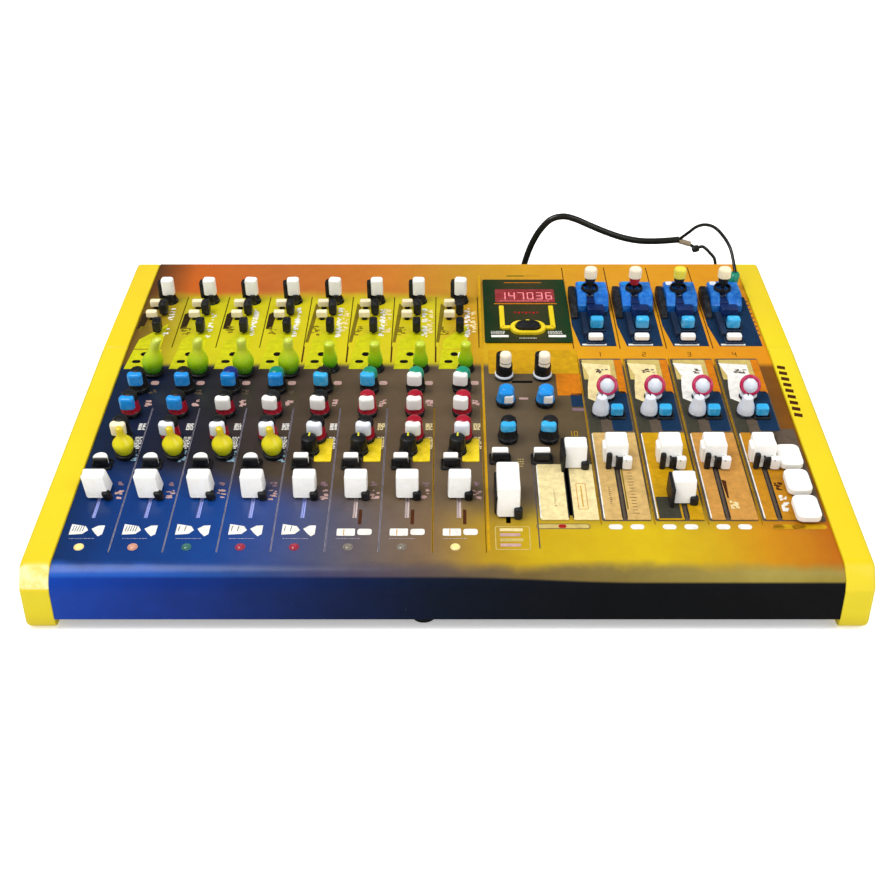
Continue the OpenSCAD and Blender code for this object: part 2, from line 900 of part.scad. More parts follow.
module patch_cable() {
    color("#15171a") {
        cable_run(cable_main, cable_main_r);
        cable_run(cable_drop, cable_thin_r);
        cable_run(cable_branch, cable_thin_r);
        rear_face(socket_x[2], socket_z)
            translate([0, 0, flange_t + over]) {
                cylinder(r = data_plug_r, h = data_plug_l);
                translate([0, 0, data_plug_l])
                    cylinder(r1 = boot_r, r2 = boot_r / 2, h = boot_l);
            }
        rear_face(jack_x, jack_z)
            translate([0, 0, flange_t + over])
                cylinder(r = jack_plug_r, h = jack_plug_l);
    }
    color("#0b7a5c")
        on_deck(plug_x, plug_s) {
            translate([0, 0, -2 * sheet_t])
                cylinder(r = plug_pin_r, h = 2 * sheet_t + 2 * over, $fn = 32);
            translate([0, 0, over])
                cylinder(r1 = plug_r, r2 = plug_r * 0.6, h = plug_l);
        }
}

// A button's cap on its stem: [distance, offset, width, length, height]
module button_cap(key, r = 1) {
    translate([0, 0, button_lift])
        rounded_box(key[2], key[3], key[4] - button_lift, r);
    translate([0, 0, under - body_depth + button_travel + 2 * over])
        cylinder(r = stem_r, h = button_lift + body_depth - under - button_travel - over, $fn = small_fn);
}

module flash_buttons() {
    color("#f4f2ec") {
        for (i = [1:strips])
            on_deck(strip_x(i) + flash_key[1], flash_key[0]) button_cap(flash_key);
        for (x = [master_a_x, master_b_x])
            on_deck(x + master_key[1], master_key[0]) button_cap(master_key);
        for (j = [0:columns - 1])
            on_deck(lever_x(j) + white_key[1], white_key[0]) button_cap(white_key);
    }
}

module channel_buttons() {
    for (i = [1:strips]) {
        color("#151515")
            for (key = [black_key_back, black_key_front])
                on_deck(strip_x(i) + key[1], key[0]) button_cap(key);
        color("#f3e3b0")
            for (key = [cream_key_back, cream_key_front])
                on_deck(strip_x(i) + key[1], key[0]) button_cap(key);
    }
}

module bank_keys() {
    color("#2aa7ee")
        for (j = [0:columns - 1]) {
            on_deck(column_x(j) + blue_key[1], blue_key[0]) button_cap(blue_key);
            on_deck(lever_x(j) + cyan_key[1], cyan_key[0]) button_cap(cyan_key);
        }
}

module page_keys() {
    color("#f7f5ef")
        for (s = page_key_s)
            on_deck(page_key_x, s) button_cap(page_key_size, page_key_r);
}

module nav_key() {
    color("#0d0d0d")
        on_deck(display_x, nav_s)
            button_cap(nav_key_size, nav_r - hole_gap);
}

// A fader's handle on its blade, with the carriage that runs inside the track
module fader(n) {
    place = fader_place(n);
    f = place[1];
    margin = track_wall + run_gap;
    color("#fbfaf6")
        on_deck(place[0], f[1]) {
            difference() {
                translate([f[6], 0, handle_lift])
                    rounded_box(handle_w, f[4], f[5] - handle_lift, handle_r);
                translate([f[6], 0, f[5] + scoop_r - scoop])
                    rotate([0, 90, 0])
                        cylinder(r = scoop_r, h = handle_w + 2 * over, center = true, $fn = 64);
            }
            translate([-blade_w / 2, -blade_l / 2, under - body_depth / 2])
                cube([blade_w, blade_l, body_depth / 2 - under + handle_lift + over]);
            translate([margin - track_w / 2, -blade_l / 2, under - body_depth + margin])
                cube([track_w - 2 * margin, blade_l, body_depth - 2 * margin]);
        }
}

// A knob with its shaft: [distance, offset, foot radius, top radius, height]
module knob(row) {
    h = row[4] - knob_lift;
    translate([0, 0, knob_lift])
        difference() {
            union() {
                cylinder(r1 = row[2], r2 = row[3], h = h);
                cylinder(r = row[2] + skirt_rim, h = skirt_h);
                translate([-pointer_w / 2, 0, h - over])
                    cube([pointer_w, row[3] - slack, over + pointer_h]);
            }
            translate([0, 0, -over])
                cylinder(r = shaft_r + shaft_gap, h = bore_l + over);
        }
    translate([0, 0, under - body_depth + pot_floor + 4 * slack])
        cylinder(r = shaft_r, h = knob_lift + bore_l + body_depth - under - pot_floor - 10 * slack);
}

module strip_knob(row, i, paint) {
    color(paint)
        on_deck(strip_x(i) + row[1], row[0]) knob(row);
}

module ring_knob(j) {
    color("#c3195a")
        on_deck(column_x(j) + ring_row[1], ring_row[0]) knob(ring_row);
}

module master_cap(x) {
    color("#f3ece4")
        on_deck(x, master_cap_row[0]) knob(master_cap_row);
}

module trim_knobs() {
    for (i = [2:strips]) strip_knob(trim_row, i, "#f5f3ea");
}

module lime_knobs() {
    for (i = [2:strips]) strip_knob(lime_row(i), i, "#9ad31c");
}

module tone_knobs() {
    for (i = [2:strips]) {
        strip_knob(blue_row, i, "#1c9bd8");
        strip_knob(cyan_row, i, "#a3152c");
        strip_knob(white_row, i, "#e9eef2");
    }
}

module yellow_knobs() {
    for (i = [2:strips]) strip_knob(yellow_row(i), i, "#e6df1e");
}

module master_knobs() {
    color("#1677c8")
        for (x = [master_a_x, master_b_x])
            for (row = [master_blue_row, master_light_row])
                on_deck(x, row[0]) knob(row);
    color("#dfe3ea")
        for (j = [0:columns - 1])
            on_deck(column_x(j) + pale_row[1], pale_row[0]) knob(pale_row);
}

base_tray();
top_panel();
left_cheek();
right_cheek();
control_board();
main_board();
fader_tracks();
pot_bodies();
switch_bodies();
display_module();
display_window();
fader_plates();
lever_blocks();
rear_sockets();
rubber_feet();
screws();
status_lamps();
patch_cable();
flash_buttons();
channel_buttons();
bank_keys();
page_keys();
nav_key();
power_rocker();
lever(0, "#20242c", "#f4ead2");  // lever_1
lever(1, "#c01414", "#f4ead2");  // lever_2
lever(2, "#1c1c1c", "#f3e23a");  // lever_3
lever(3, "#0b7a5c", "#f4ead2");  // lever_4
fader(1);  // fader_1
fader(2);  // fader_2
fader(3);  // fader_3
fader(4);  // fader_4
fader(5);  // fader_5
fader(6);  // fader_6
fader(7);  // fader_7
fader(8);  // fader_8
fader(9);  // fader_9
fader(10);  // fader_10
fader(11);  // fader_11
fader(12);  // fader_12
fader(13);  // fader_13
fader(14);  // fader_14
fader(15);  // fader_15
strip_knob(trim_row, 1, "#f5f3ea");  // trim_knob_1
strip_knob(lime_row(1), 1, "#9ad31c");  // lime_knob_1
strip_knob(blue_row, 1, "#1c9bd8");  // blue_knob_1
strip_knob(cyan_row, 1, "#a3152c");  // cyan_knob_1
strip_knob(white_row, 1, "#e9eef2");  // white_knob_1
strip_knob(yellow_row(1), 1, "#e6df1e");  // yellow_knob_1
ring_knob(0);  // ring_knob_1
ring_knob(1);  // ring_knob_2
ring_knob(2);  // ring_knob_3
ring_knob(3);  // ring_knob_4
master_cap(master_a_x);  // master_knob_left
master_cap(master_b_x);  // master_knob_right
trim_knobs();
lime_knobs();
tone_knobs();
yellow_knobs();
master_knobs();
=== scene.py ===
import json
import math
import random

import bpy
from mathutils import Matrix, Vector


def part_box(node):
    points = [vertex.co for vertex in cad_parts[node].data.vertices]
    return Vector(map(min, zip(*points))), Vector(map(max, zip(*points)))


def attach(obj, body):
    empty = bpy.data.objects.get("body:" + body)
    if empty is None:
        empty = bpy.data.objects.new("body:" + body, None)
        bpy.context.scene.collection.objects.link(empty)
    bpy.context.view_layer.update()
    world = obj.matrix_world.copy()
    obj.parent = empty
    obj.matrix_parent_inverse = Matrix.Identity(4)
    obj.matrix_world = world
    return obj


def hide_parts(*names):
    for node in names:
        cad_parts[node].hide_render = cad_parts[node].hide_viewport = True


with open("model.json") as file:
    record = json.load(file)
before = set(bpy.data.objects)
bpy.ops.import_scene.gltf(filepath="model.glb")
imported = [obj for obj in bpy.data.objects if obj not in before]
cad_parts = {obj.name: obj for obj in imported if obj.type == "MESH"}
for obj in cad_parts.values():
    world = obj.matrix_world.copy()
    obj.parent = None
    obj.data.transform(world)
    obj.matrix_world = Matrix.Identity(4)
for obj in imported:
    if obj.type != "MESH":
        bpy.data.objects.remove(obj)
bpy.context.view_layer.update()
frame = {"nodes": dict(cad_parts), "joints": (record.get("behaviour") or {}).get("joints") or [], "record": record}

MM = 0.001
FROM_MM = Matrix.Scale(MM, 4)
SEED = 7
STANDS_ABOVE = 2.0  # a CAD solid that rises less than this above the deck is no control
rng = random.Random(SEED)


# ---------------------------------------------------------------- the deck's two planes

def joint(name):
    return next(j for j in frame["joints"] if j["name"] == name)


def span(points):
    """Lowest and highest x, y and z of some points."""
    return [Vector([pick(p[i] for p in points) for i in range(3)]) for pick in (min, max)]


class Plane:
    """One slope of the deck. Local x runs right, s up the slope and h out of the deck, in mm."""

    def __init__(self, hinge):
        self.normal = Vector(joint(hinge)["axis"])
        self.up = Vector((0, self.normal.z, -self.normal.y))
        point = Vector(joint(hinge)["pos_m"])
        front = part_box("top_panel")[0].y
        self.origin = point - self.up * ((point.y - front) / self.up.y)
        self.origin.x = 0
        self.shift = 0

    def place(self, x, s, h=0):
        """Matrix from millimetres round a point on the deck to the row frame in metres."""
        at = self.origin + Vector((x * MM, 0, 0)) + self.up * (s - self.shift) * MM + self.normal * h * MM
        axes = Matrix((Vector((1, 0, 0)), self.up, self.normal)).transposed().to_4x4()
        return Matrix.Translation(at) @ axes @ FROM_MM

    def local(self, point):
        """x, s and h of a point in the row frame."""
        d = point - self.origin
        return Vector((d.x, d.dot(self.up), d.dot(self.normal))) / MM + Vector((0, self.shift, 0))

    def hinge(self, name):
        """x, s and h of a hinge."""
        return self.local(Vector(joint(name)["pos_m"]))


front_deck = Plane("blue_knob_1_turn")
rear_deck = Plane("trim_knob_1_turn")


def crease():
    """Distance up the front slope to where the two slopes meet."""
    gap = rear_deck.origin - front_deck.origin
    return gap.dot(rear_deck.normal) / front_deck.up.dot(rear_deck.normal) / MM


CREASE = crease()
crease_point = front_deck.origin + front_deck.up * CREASE * MM
rear_deck.shift = CREASE - (crease_point - rear_deck.origin).dot(rear_deck.up) / MM


def place(x, s):
    return (front_deck if s < CREASE else rear_deck).place(x, s)


def islands(node):
    """The vertices of each separate solid in a CAD node, as lists of points."""
    mesh = frame["nodes"][node].data
    keys = {}
    first = [keys.setdefault(tuple(round(c, 6) for c in v.co), v.index) for v in mesh.vertices]
    parent = list(range(len(first)))

    def find(i):
        while parent[i] != i:
            parent[i] = parent[parent[i]]
            i = parent[i]
        return i

    for e in mesh.edges:
        a, b = find(first[e.vertices[0]]), find(first[e.vertices[1]])
        parent[a] = b
    groups = {}
    for v in mesh.vertices:
        groups.setdefault(find(first[v.index]), []).append(v.co.copy())
    return list(groups.values())


class Spot:
    """Where a CAD solid stands on the deck: centre x and s, width w, length l and top, in mm."""

    def __init__(self, plane, above):
        low, high = span(above)
        self.plane = plane
        self.x, self.s = (low.x + high.x) / 2, (low.y + high.y) / 2
        self.w, self.l = high.x - low.x, high.y - low.y
        self.top = high.z

    def matrix(self):
        return self.plane.place(self.x, self.s)


def spots(node):
    """The spots of a node's solids, without the shafts inside knobs, sorted from left to right."""
    found = []
    for points in islands(node):
        mid_y = sum(p.y for p in points) / len(points)
        plane = front_deck if mid_y < crease_point.y else rear_deck
        above = [p for p in map(plane.local, points) if p.z > STANDS_ABOVE]
        if above:
            found.append(Spot(plane, above))
    return sorted((f for f in found if is_cap(f, found)), key=lambda f: (round(f.x), f.s))


def is_cap(spot, found):
    """False for a shaft that stands inside another solid's outline."""
    for other in found:
        inside = abs(other.x - spot.x) < 1 and abs(other.s - spot.s) < 1.5
        if other is not spot and inside and other.top > spot.top:
            return False
    return True


# ---------------------------------------------------------------- materials

PALE, DIM = 0.6, 0.76  # colours whose lowest part is above PALE aren't dimmed
looks = {}


def rgb(code):
    """Linear colour from a #rrggbb code, dimmed unless it is pale, as the lamps burn white out."""
    values = [int(code[i:i + 2], 16) / 255 for i in (1, 3, 5)]
    dim = 1.0 if min(values) > PALE else DIM
    return tuple(dim * (v / 12.92 if v <= 0.04045 else ((v + 0.055) / 1.055) ** 2.4) for v in values) + (1,)


def tint(colour, gain, plus=0.0):
    """The colour made darker or lighter."""
    return tuple(min(1, c * gain + plus) for c in colour[:3]) + (1,)


class Look:
    """A material whose node tree is built call by call."""

    def __init__(self, name):
        self.mat = looks[name] = bpy.data.materials.new(name)
        self.mat.use_nodes = True
        self.tree = self.mat.node_tree
        self.bsdf = self.tree.nodes["Principled BSDF"]
        self.coord = self.tree.nodes.new("ShaderNodeTexCoord").outputs["Object"]

    def node(self, kind, props=None, **inputs):
        """A new node. An input named i and a number is given by its place."""
        made = self.tree.nodes.new("ShaderNode" + kind)
        for key, value in (props or {}).items():
            setattr(made, key, value)
        for key, value in inputs.items():
            self.feed(made.inputs[int(key[1:]) if key[1:].isdigit() else key], value)
        return made

    def feed(self, socket, value):
        if isinstance(value, bpy.types.NodeSocket):
            self.tree.links.new(value, socket)
        else:
            socket.default_value = value

    def noise(self, scale, detail=3, rough=0.55, vector=None):
        made = self.node("TexNoise", Scale=scale, Detail=detail, Roughness=rough, Vector=vector or self.coord)
        return made.outputs["Fac"]

    def remap(self, value, low, high, to_low=0.0, to_high=1.0, kind="LINEAR"):
        props = {"interpolation_type": kind}
        return self.node("MapRange", props, i0=value, i1=low, i2=high, i3=to_low, i4=to_high).outputs[0]

    def ease(self, value, low, high, to_low=0.0, to_high=1.0):
        return self.remap(value, low, high, to_low, to_high, "SMOOTHSTEP")

    def math(self, operation, a, b=0.0):
        return self.node("Math", {"operation": operation}, i0=a, i1=b).outputs[0]

    def mix(self, fac, a, b, blend="MIX"):
        return self.node("Mix", {"data_type": "RGBA", "blend_type": blend}, i0=fac, i6=a, i7=b).outputs[2]

    def ramp(self, fac, stops):
        made = self.node("ValToRGB", Fac=fac)
        band = made.color_ramp
        for element, (at, code) in zip(band.elements, (stops[0], stops[-1])):
            element.position, element.color = at, rgb(code)
        for at, code in stops[1:-1]:
            band.elements.new(at).color = rgb(code)
        return made.outputs["Color"]

    def axis(self, index):
        return self.node("SeparateXYZ", Vector=self.coord).outputs[index]

    def edges(self, low, high):
        """1 on convex edges, 0 on flat faces."""
        return self.remap(self.node("NewGeometry").outputs["Pointiness"], low, high)

    def bump(self, height, strength, distance):
        made = self.node("Bump", Strength=strength, Distance=distance, Height=height)
        self.feed(self.bsdf.inputs["Normal"], made.outputs[0])

    def uneven(self, low, high, scale, detail=4, rough=0.55, start=0.3, end=0.7):
        """Roughness that wanders between two values."""
        self.set(Roughness=self.remap(self.noise(scale, detail, rough), start, end, low, high))

    def set(self, **inputs):
        for key, value in inputs.items():
            self.feed(self.bsdf.inputs[key.replace("_", " ")], value)


def plastic(name, code, rough=0.35, spread=0.12, wear=None, grain=900, coat=0.0, depth=0.00004, emit=0.0):
    """Moulded plastic: uneven colour, fine moulded grain, scuffs, and paler worn edges."""
    look = Look(name)
    base = rgb(code)
    cloud = look.remap(look.noise(45, 4), 0.3, 0.7)
    colour = look.mix(cloud, tint(base, 1 - spread), tint(base, 1 + spread, 0.01))
    scratch = look.remap(look.noise(320, 6, 0.7), 0.45, 0.6)
    wear_and_highlight = look.math("MULTIPLY", look.math("MULTIPLY", look.edges(0.53, 0.62), scratch), 0.6)
    colour = look.mix(wear_and_highlight, colour, rgb(wear) if wear else tint(base, 1.25, 0.05))
    look.set(Base_Color=colour, Coat_Weight=coat, Coat_Roughness=0.12, Specular_IOR_Level=0.3)
    look.uneven(max(rough - 0.1, 0.05), rough + 0.14, 130, 5, 0.65, 0.3, 0.75)
    if emit:
        look.set(Emission_Color=base, Emission_Strength=emit)
    look.bump(look.noise(grain, 3), 0.25, depth)


def ink(name, code):
    """Screen-printed ink: slightly uneven coverage with worn specks."""
    look = Look(name)
    base = rgb(code)
    patch = look.remap(look.noise(260, 5, 0.7), 0.35, 0.7)
    look.set(Base_Color=look.mix(patch, tint(base, 0.72), base), Specular_IOR_Level=0.15)
    look.uneven(0.42, 0.62, 500, 3)
    look.bump(look.noise(1500, 2), 0.2, 0.00002)


def steel(name, code, rough=0.3):
    """Plated steel with brushed streaks along X."""
    look = Look(name)
    stretched = look.node("Mapping", Vector=look.coord, Scale=(30, 900, 900)).outputs[0]
    streak = look.noise(1.0, 4, 0.6, stretched)
    base = rgb(code)
    look.set(Base_Color=look.mix(streak, tint(base, 0.75), base), Metallic=1.0)
    look.set(Roughness=look.remap(streak, 0.3, 0.7, rough - 0.1, rough + 0.15))
    look.bump(streak, 0.15, 0.00003)


def circuit(name, code):
    """Solder mask with faint copper tracks."""
    look = Look(name)
    base = rgb(code)
    grid = look.node("TexBrick", {"offset": 0.5}, Vector=look.coord, Scale=260.0).outputs["Fac"]
    look.set(Base_Color=look.mix(look.math("MULTIPLY", grid, 0.6), base, tint(base, 1.7, 0.02)))
    look.uneven(0.3, 0.5, 90)
    look.bump(grid, 0.3, 0.00005)


# Colours of the deck from its left edge (0) to its right edge (1)
FRONT_FIELD = [
    (0.0, "#02306a"), (0.07, "#013a84"), (0.2, "#0c4696"), (0.27, "#3a5090"), (0.34, "#585a74"),
    (0.41, "#75665e"), (0.477, "#8a6e4e"), (0.55, "#c29a1a"), (0.614, "#d6b208"), (0.77, "#e8c606"),
    (0.84, "#dcb20e"), (0.91, "#dd9a0a"), (1.0, "#c8700a")]
MIDDLE_FIELD = [
    (0.0, "#10284a"), (0.07, "#1c2440"), (0.15, "#2c2a34"), (0.22, "#443a36"), (0.34, "#64523e"),
    (0.48, "#746048"), (0.6, "#70604a"), (0.66, "#6a583c"), (0.8, "#5b4e3a"), (0.9, "#584a2c"),
    (1.0, "#8a5208")]
LIME_FIELD = [
    (0.0, "#6b4a1c"), (0.04, "#b0941c"), (0.1, "#dcd40c"), (0.34, "#e6d60a"), (0.48, "#e0d014"),
    (0.53, "#d29c18"), (0.57, "#e4b606"), (0.7, "#efac08"), (1.0, "#f09c08")]
BACK_FIELD = [
    (0.0, "#5c3a1a"), (0.035, "#9a501a"), (0.07, "#d4681a"), (0.2, "#cc702c"), (0.4, "#d88226"),
    (0.52, "#d29a24"), (0.6, "#dca41c"), (0.75, "#eaa61c"), (1.0, "#f4a40c")]
# Paint of the rolled front edge with painted light on it: a painted sheen makes it brighter blue at the left,
# painted shade makes it greyer and darker gold towards the right
FRONT_ROLL_PAINT_AND_SHEEN = [
    (0.0, "#1c62cc"), (0.13, "#155cc0"), (0.2, "#1450a4"), (0.27, "#2a4888"), (0.34, "#45456c"),
    (0.48, "#62524c"), (0.6, "#7c6638"), (0.75, "#94803c"), (0.9, "#b4a048"), (1.0, "#a8943c")]
FRONT_FACE = [
    (0.0, "#0244b4"), (0.14, "#033492"), (0.25, "#042a74"), (0.36, "#051f52"), (0.48, "#081832"),
    (0.6, "#0c1420"), (0.7, "#101216"), (1.0, "#151517")]


def deck_paint():
    """The deck's graded paint, by distance up the slope in mm and from left to right. On the rolled front edge the
    paint carries a painted sheen at the left and painted shade towards the right.
    """
    look = Look("deck_paint")
    low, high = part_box("top_panel")
    across = look.remap(look.axis(0), -high.x, high.x)
    up = look.remap(look.axis(1), low.y, high.y, 0.0, (high.y - low.y) / MM)
    soft_up = look.math("ADD", up, look.remap(look.noise(40, 3), 0.3, 0.7, -2.0, 2.0))
    behind = look.remap(across, 0.0, 0.5, 84.0, 46.0)
    past = look.ease(look.math("SUBTRACT", soft_up, behind), -16.0, 16.0)
    colour = look.mix(past, look.ramp(across, FRONT_FIELD), look.ramp(across, MIDDLE_FIELD))
    colour = look.mix(look.ease(up, 176.0, 182.0), colour, look.ramp(across, LIME_FIELD))
    colour = look.mix(look.ease(soft_up, 254.0, 268.0), colour, look.ramp(across, BACK_FIELD))
    # rolled front edge: deck paint with painted sheen and painted shade
    colour = look.mix(look.ease(soft_up, 4.5, 12.0), look.ramp(across, FRONT_ROLL_PAINT_AND_SHEEN), colour)
    height = look.math("SUBTRACT", look.axis(2), look.ease(across, 0.5, 0.75, 0.0022, 0.0))
    colour = look.mix(look.ease(height, 0.0278, 0.0292), look.ramp(across, FRONT_FACE), colour)
    grime = look.remap(look.noise(60, 5, 0.7), 0.35, 0.75, 0.0, 0.22)
    colour = look.mix(grime, colour, rgb("#2c241c"), "SOFT_LIGHT")
    scratch = look.remap(look.noise(700, 6, 0.8), 0.66, 0.72, 0.0, 0.18)
    colour = look.mix(scratch, colour, rgb("#d8cdb8"))
    look.set(Base_Color=colour, Coat_Weight=0.4, Coat_Roughness=0.24, Specular_IOR_Level=0.1)
    look.uneven(0.42, 0.6, 160)
    look.bump(look.noise(1800, 3), 0.2, 0.00002)


def cheek_plastic():
    """Yellow moulded cheek: orange-peel gloss, painted shade that makes it darker low down, pale wear and a
    painted highlight on the facet of the left nose, and painted highlights along its edges.
    """
    look = Look("cheek_yellow")
    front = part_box("left_cheek")[0].y
    height = look.axis(2)
    base = look.mix(look.remap(look.noise(9, 3), 0.3, 0.7), rgb("#ffd800"), rgb("#ffe600"))
    # painted shade: the cheek's front face below the nose is darker, and its foot darker still
    base = look.mix(look.ease(height, 0.026, 0.0225), base, rgb("#f4dc00"))
    base = look.mix(look.ease(height, 0.012, 0.0, 0.0, 0.4), base, rgb("#b89800"))
    # pale facet on the left cheek's nose: blotchy wear with a painted highlight where the facet catches the light
    wear_and_highlight = look.ease(look.axis(1), front + 0.0058, front + 0.0078, 1.0, 0.0)
    wear_and_highlight = look.math("MULTIPLY", wear_and_highlight, look.remap(look.axis(0), -0.001, 0.001, 1.0, 0.0))
    wear_and_highlight = look.math("MULTIPLY", wear_and_highlight, look.ease(height, 0.0252, 0.0262))
    wear_and_highlight = look.math("MULTIPLY", wear_and_highlight, look.remap(look.noise(90, 6, 0.75), 0.3, 0.56))
    base = look.mix(look.math("MULTIPLY", wear_and_highlight, 0.85), base, rgb("#fbf8c4"))
    # painted highlight: paler yellow along the cheek's convex edges
    base = look.mix(look.math("MULTIPLY", look.edges(0.52, 0.6), 0.5), base, rgb("#fff36a"))
    specks = look.remap(look.noise(420, 5, 0.8), 0.68, 0.74, 0.0, 0.3)
    base = look.mix(specks, base, rgb("#a98200"))
    look.set(Base_Color=base, Coat_Weight=0.15, Coat_Roughness=0.25, Specular_IOR_Level=0.25)
    look.uneven(0.34, 0.5, 110)
    look.bump(look.noise(700, 3), 0.2, 0.00006)


def window_glass():
    """Dark glass of the display: green at both sides and olive in the middle."""
    look = Look("glass_green")
    low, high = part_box("display_window")
    wander = look.remap(look.noise(60, 3), 0.3, 0.7, -0.06, 0.06)
    across = look.math("ADD", look.remap(look.axis(0), low.x, high.x), wander)
    stops = [(0.0, "#0e3214"), (0.3, "#34381a"), (0.6, "#3e3a20"), (0.8, "#2c3a1c"), (1.0, "#123c1c")]
    look.set(Base_Color=look.ramp(across, stops), Specular_IOR_Level=0.25)
    look.set(Coat_Weight=0.2, Coat_Roughness=0.1)
    look.uneven(0.12, 0.3, 200, 5, 0.7, 0.35)
    look.bump(look.noise(900, 2), 0.1, 0.00001)


def graded(name, stops, rough=0.28):
    """Gloss plastic whose colour changes with height above the front slope, over 30 mm."""
    look = Look(name)
    height = look.node("VectorMath", {"operation": "DOT_PRODUCT"}, i0=look.coord, i1=tuple(front_deck.normal))
    base = front_deck.origin.dot(front_deck.normal)
    rise = look.remap(height.outputs["Value"], base, base + 0.03)
    rise = look.math("ADD", rise, look.remap(look.noise(150, 3), 0.3, 0.7, -0.03, 0.03))
    look.set(Base_Color=look.ramp(rise, stops), Coat_Weight=0.3, Coat_Roughness=0.12)
    look.uneven(rough - 0.08, rough + 0.14, 130, 5, 0.65, 0.3, 0.75)
    look.bump(look.noise(900, 3), 0.2, 0.00004)


# The shade ink is no print: it is the dark colour of a painted shadow
INKS = {
    "white": "#f4f2ea", "line": "#b4aec0", "pale_gold": "#e9cf7a", "gold": "#e8b006", "tan": "#e8a850",
    "amber": "#e09a1c", "brown": "#5a2c0a", "orange": "#ee8a06", "cream": "#f3dfa4", "card": "#f2c87c",
    "navy": "#173a5e", "taupe": "#6f5f50", "grey": "#4c4a3c", "shade": "#3c2c10", "black": "#14100c",
    "pink": "#c9a49c", "sky": "#9cc4dc", "red": "#c01818", "lime": "#e8e60a", "olive": "#8f7c10",
    "mauve": "#9a7a84"}
LAMPS = {"yellow": "#ffe98a", "pink": "#e8a890", "grey": "#8c8276", "green": "#3f7a70", "red": "#b03048"}


def make_looks():
    deck_paint()
    cheek_plastic()
    window_glass()
    graded("bottle_green", [(0.0, "#34a808"), (0.16, "#5cc808"), (0.36, "#b0e414"), (0.56, "#dcee18"),
                            (1.0, "#e6f070")])
    graded("pear_yellow", [(0.0, "#c0e000"), (0.15, "#f0f408"), (0.4, "#ffee10"), (1.0, "#f0b80c")])
    plastic("white", "#f6f4ee", 0.32, 0.04, "#ffffff")
    plastic("cream", "#f4e6c0", 0.36, 0.06)
    plastic("ivory", "#f7ead0", 0.34, 0.05)
    plastic("black", "#101114", 0.42, 0.25, "#4a4c52")
    plastic("yellow", "#ebe31a", 0.28, 0.12, "#fbf7a0", coat=0.2)
    plastic("blue", "#14a0fc", 0.3, 0.15, "#9ad6ff", coat=0.2)
    plastic("cyan", "#34c0ff", 0.3, 0.12, "#c0ecff", coat=0.15)
    plastic("navy", "#142f86", 0.35, 0.15)
    plastic("teal", "#0a9a78", 0.3, 0.18, "#a8f0de", coat=0.2)
    plastic("crimson", "#b80c2c", 0.3, 0.2, "#e86a70", coat=0.2)
    plastic("magenta", "#d00050", 0.3, 0.15, "#ff8ab8", coat=0.25)
    plastic("pale", "#dfe4ee", 0.3, 0.06, "#ffffff")
    plastic("block_blue", "#0672dc", 0.3, 0.35, "#58b4ff", coat=0.3)
    # darker copy of the lever blocks' blue: painted shade on their lower front parts
    plastic("block_navy", "#082a66", 0.35, 0.3, "#3a6cc0", coat=0.2)
    # pale lips under the channel slots, with a faint glow: painted reflection of the white fader handles in the
    # slots
    plastic("lip_blue", "#a8b4ff", 0.4, 0.1, emit=0.12)
    plastic("lip_taupe", "#d8c4c0", 0.4, 0.1, emit=0.08)
    plastic("bank_dark", "#0c2748", 0.42, 0.2)
    plastic("red", "#c21414", 0.3, 0.15, coat=0.2)
    plastic("rubber", "#141416", 0.7, 0.2, "#2a2a2c", grain=1600)
    plastic("cable_black", "#16190f", 0.36, 0.3, "#3a4048", grain=1400, coat=0.3)
    plastic("beige", "#b9a58a", 0.5, 0.1)
    plastic("sun_yellow", "#fff04c", 0.3, 0.08, "#fffbc0")
    plastic("trim_yellow", "#ffe00c", 0.35, 0.1)
    plastic("lit_red", "#8a2024", 0.3, 0.15, emit=0.25)
    plastic("lit_pink", "#e8828a", 0.3, 0.1, emit=0.6)
    plastic("tray", "#181a22", 0.55, 0.06, "#2c303a", grain=2200, depth=0.00005)
    for name, code in LAMPS.items():
        plastic("lamp_" + name, code, 0.2, 0.05, coat=0.6, emit=0.5 if name == "yellow" else 0.0)
    for name, code in INKS.items():
        ink("ink_" + name, code)
    steel("steel", "#a9adb2")
    steel("dark_steel", "#5c6168", 0.4)
    steel("track_black", "#202225", 0.5)
    circuit("board", "#0f5a30")


# ---------------------------------------------------------------- shapes
# A shape is a list of (vertices, faces, look), in millimetres.

SHARP = math.radians(38)


def turn_steps(count, start=0.0, sweep=2 * math.pi):
    """Angles spaced evenly from start, without the last."""
    return [start + sweep * k / count for k in range(count)]


def circle(r, count):
    return [(r * math.cos(a), r * math.sin(a)) for a in turn_steps(count)]


def skin(rings, look, closed=True):
    """Faces between rings of equal length, capped at both ends if closed."""
    count = len(rings[0])
    verts = [v for ring in rings for v in ring]
    faces = []
    for a in range(0, len(verts) - count, count):
        for k in range(count):
            n = (k + 1) % count
            faces.append((a + k, a + n, a + count + n, a + count + k))
    if closed:
        faces.append(tuple(reversed(range(count))))
        faces.append(tuple(range(len(verts) - count, len(verts))))
    return [(verts, faces, look)]


def hollow(levels, look):
    """An open skin through (outline, height) levels."""
    return skin([[(x, y, z) for x, y in outline] for outline, z in levels], look, closed=False)


def band(profile, look, count):
    """A turned ring through (radius, height) pairs."""
    return hollow([(circle(r, count), z) for r, z in profile], look)


def lathe(profile, look, segments=40, flutes=0, depth=0.0, fluted=(0, 0)):
    """A turned solid from (radius, height) pairs, with optional flutes between two heights."""
    rings = []
    for r, z in profile:
        cut = depth if fluted[0] <= z <= fluted[1] else 0
        rings.append([((r - cut * (0.5 - 0.5 * math.cos(flutes * a))) * math.cos(a),
                       (r - cut * (0.5 - 0.5 * math.cos(flutes * a))) * math.sin(a), z)
                      for a in turn_steps(segments)])
    return skin(rings, look)


